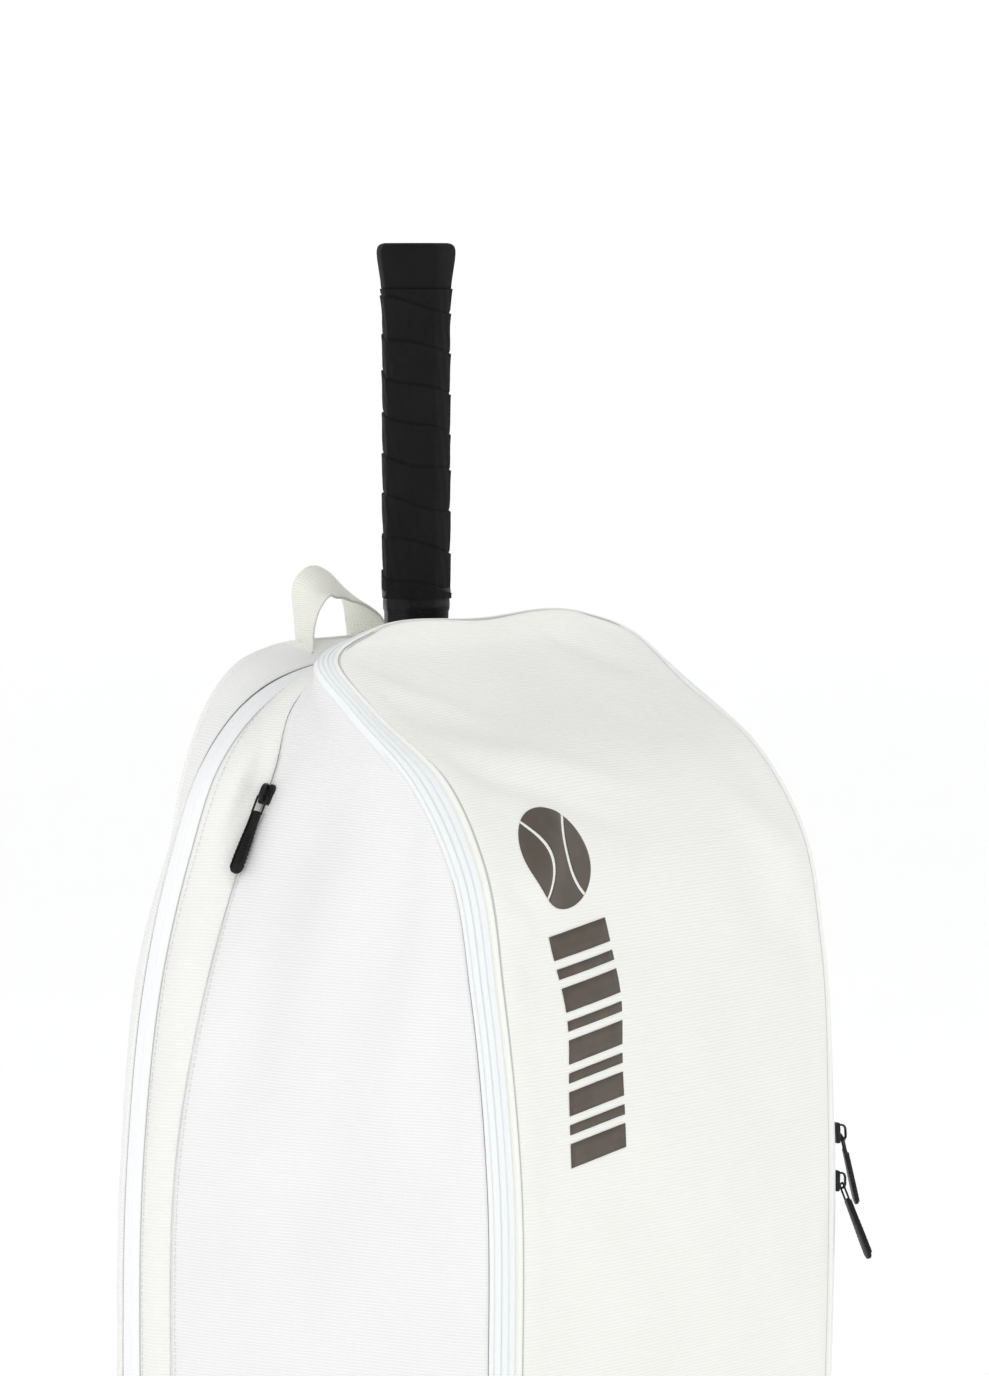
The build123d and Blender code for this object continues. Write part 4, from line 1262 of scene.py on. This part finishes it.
def printed(name, patches):
    """Ink patches, each a grid of points between a left and a right boundary."""
    shares = np.linspace(0, 1, 12)
    pieces = []
    for left, right in patches:
        grid = between(np.asarray(left), np.asarray(right), shares)
        pieces.append((on_panel(grid.reshape(-1, 2)), grid_faces(len(left), len(shares))))
    points, faces = merged(pieces)
    one, two, _, four = [points[index] for index in faces[0]]
    if np.cross(two - one, four - one)[1] > 0:
        faces = [face[::-1] for face in faces]
    obj = make_object(name, points, faces, [MAT["ink"]], lying_uvs(points))
    thicken(obj, 0.12, 1)
    finish_piece(obj, "front_flap", "print_ink")


BALL_RADIUS = 27.0
BALL_X = PRINT_X - 6.0     # the ball's middle, left of the bars' middle
BALL_RUN = 156.0           # height of the ball's middle
SEAM_HALF = 1.3            # half of the pale seam's width
levels = BALL_RADIUS * np.sin(np.linspace(-math.pi / 2, math.pi / 2, 49))
outer = np.sqrt(np.clip(BALL_RADIUS ** 2 - levels ** 2, 0, None))
seam_curve = 7.5 + levels ** 2 / 46.0
inside = np.minimum(seam_curve + SEAM_HALF, outer)
waist = np.minimum(seam_curve - SEAM_HALF, outer)
printed("print_ball", [(np.stack([BALL_X + near, BALL_RUN + levels], axis=1),
                        np.stack([BALL_X + far, BALL_RUN + levels], axis=1))
                       for near, far in ((-outer, -inside), (inside, outer), (-waist, waist))])

BAR_HEIGHTS = (12, 5, 12, 5, 12, 5, 12, 5, 12)
BAR_GAP = 4.4
BAR_SLANT = 6.0
BAR_LENGTH = 43.0
patches = []
bar_top = 116.0
for height in BAR_HEIGHTS:
    steps = bar_top - height * np.linspace(0, 1, max(3, int(height / 2.5)))
    left = np.stack([np.full(len(steps), PRINT_X - BAR_LENGTH / 2), steps], axis=1)
    patches.append((left, left + np.array([BAR_LENGTH, BAR_SLANT])))
    bar_top -= height + BAR_GAP
printed("print_bars", patches)

# ---- camera, floor and light
camera_data = bpy.data.cameras.new("camera")
camera_data.lens = 177.8
camera_data.sensor_width = 36.0
camera_data.clip_start = 0.05
camera_data.clip_end = 100.0
camera = bpy.data.objects.new("camera", camera_data)
camera.location = (-2.84996, -2.00091, 0.71053)
aim = Vector((0.01009, 0.00171, 0.46638)) - camera.location
camera.rotation_mode = "QUATERNION"
camera.rotation_quaternion = aim.to_track_quat("-Z", "Y")
scene.collection.objects.link(camera)
scene.camera = camera


def studio_material():
    """Matt white paper with the faintest mottling."""
    recipe = Recipe("studio_paper")
    mottle = recipe.noise(recipe.place, 3, 2)
    values = {"Roughness": 1.0, "Specular IOR Level": 0.0, "Emission Color": (1, 1, 1, 1),
              "Emission Strength": 0.35}
    return recipe.finish(mottle, [0.93, 0.93, 0.93, 1], [0.95, 0.95, 0.95, 1], None, 0, 0, values)


def make_floor():
    """A pale floor that sweeps up behind the object on every side."""
    radii = [0, 0.3, 0.6, 1.2, 2.5, 4, 6, 9, 12, 14, 15, 15.5]
    heights = [0, 0, 0, 0, 0, 0, 0, 0, 0.4, 1.6, 4, 8]
    count = 48
    points = []
    for radius, height in zip(radii, heights):
        for k in range(count):
            angle = 2 * math.pi * k / count
            points.append((radius * math.cos(angle) / MM, radius * math.sin(angle) / MM, height / MM - 0.5))
    obj = make_object("studio_floor", points, grid_faces(len(radii), count, wrap=True), [studio_material()])
    obj.data.flip_normals()


make_floor()
world = bpy.data.worlds.new("studio")
world.use_nodes = True
background = world.node_tree.nodes["Background"]
background.inputs["Color"].default_value = (0.985, 0.99, 1.0, 1)
background.inputs["Strength"].default_value = 0.55
scene.world = world
scene.view_settings.view_transform = "Standard"


def area_light(name, place, target, size, power, tint):
    data = bpy.data.lights.new(name, "AREA")
    data.shape = "DISK"
    data.size = size
    data.energy = power
    data.color = tint
    obj = bpy.data.objects.new(name, data)
    obj.location = place
    obj.rotation_mode = "QUATERNION"
    obj.rotation_quaternion = (Vector(target) - Vector(place)).to_track_quat("-Z", "Y")
    scene.collection.objects.link(obj)


area_light("key", (-3.2, -1.0, 1.0), (0, 0, 0.3), 1.6, 4, (1.0, 0.995, 0.98))
area_light("left", (-3.0, 1.6, 1.2), (0, 0, 0.3), 1.8, 1.5, (1.0, 1.0, 1.0))
area_light("top", (-1.2, -0.9, 2.6), (0, 0, 0.4), 0.8, 12, (1.0, 1.0, 1.0))
area_light("fill", (1.0, -3.2, 0.7), (0, 0, 0.2), 2.0, 2, (1.0, 1.0, 1.0))
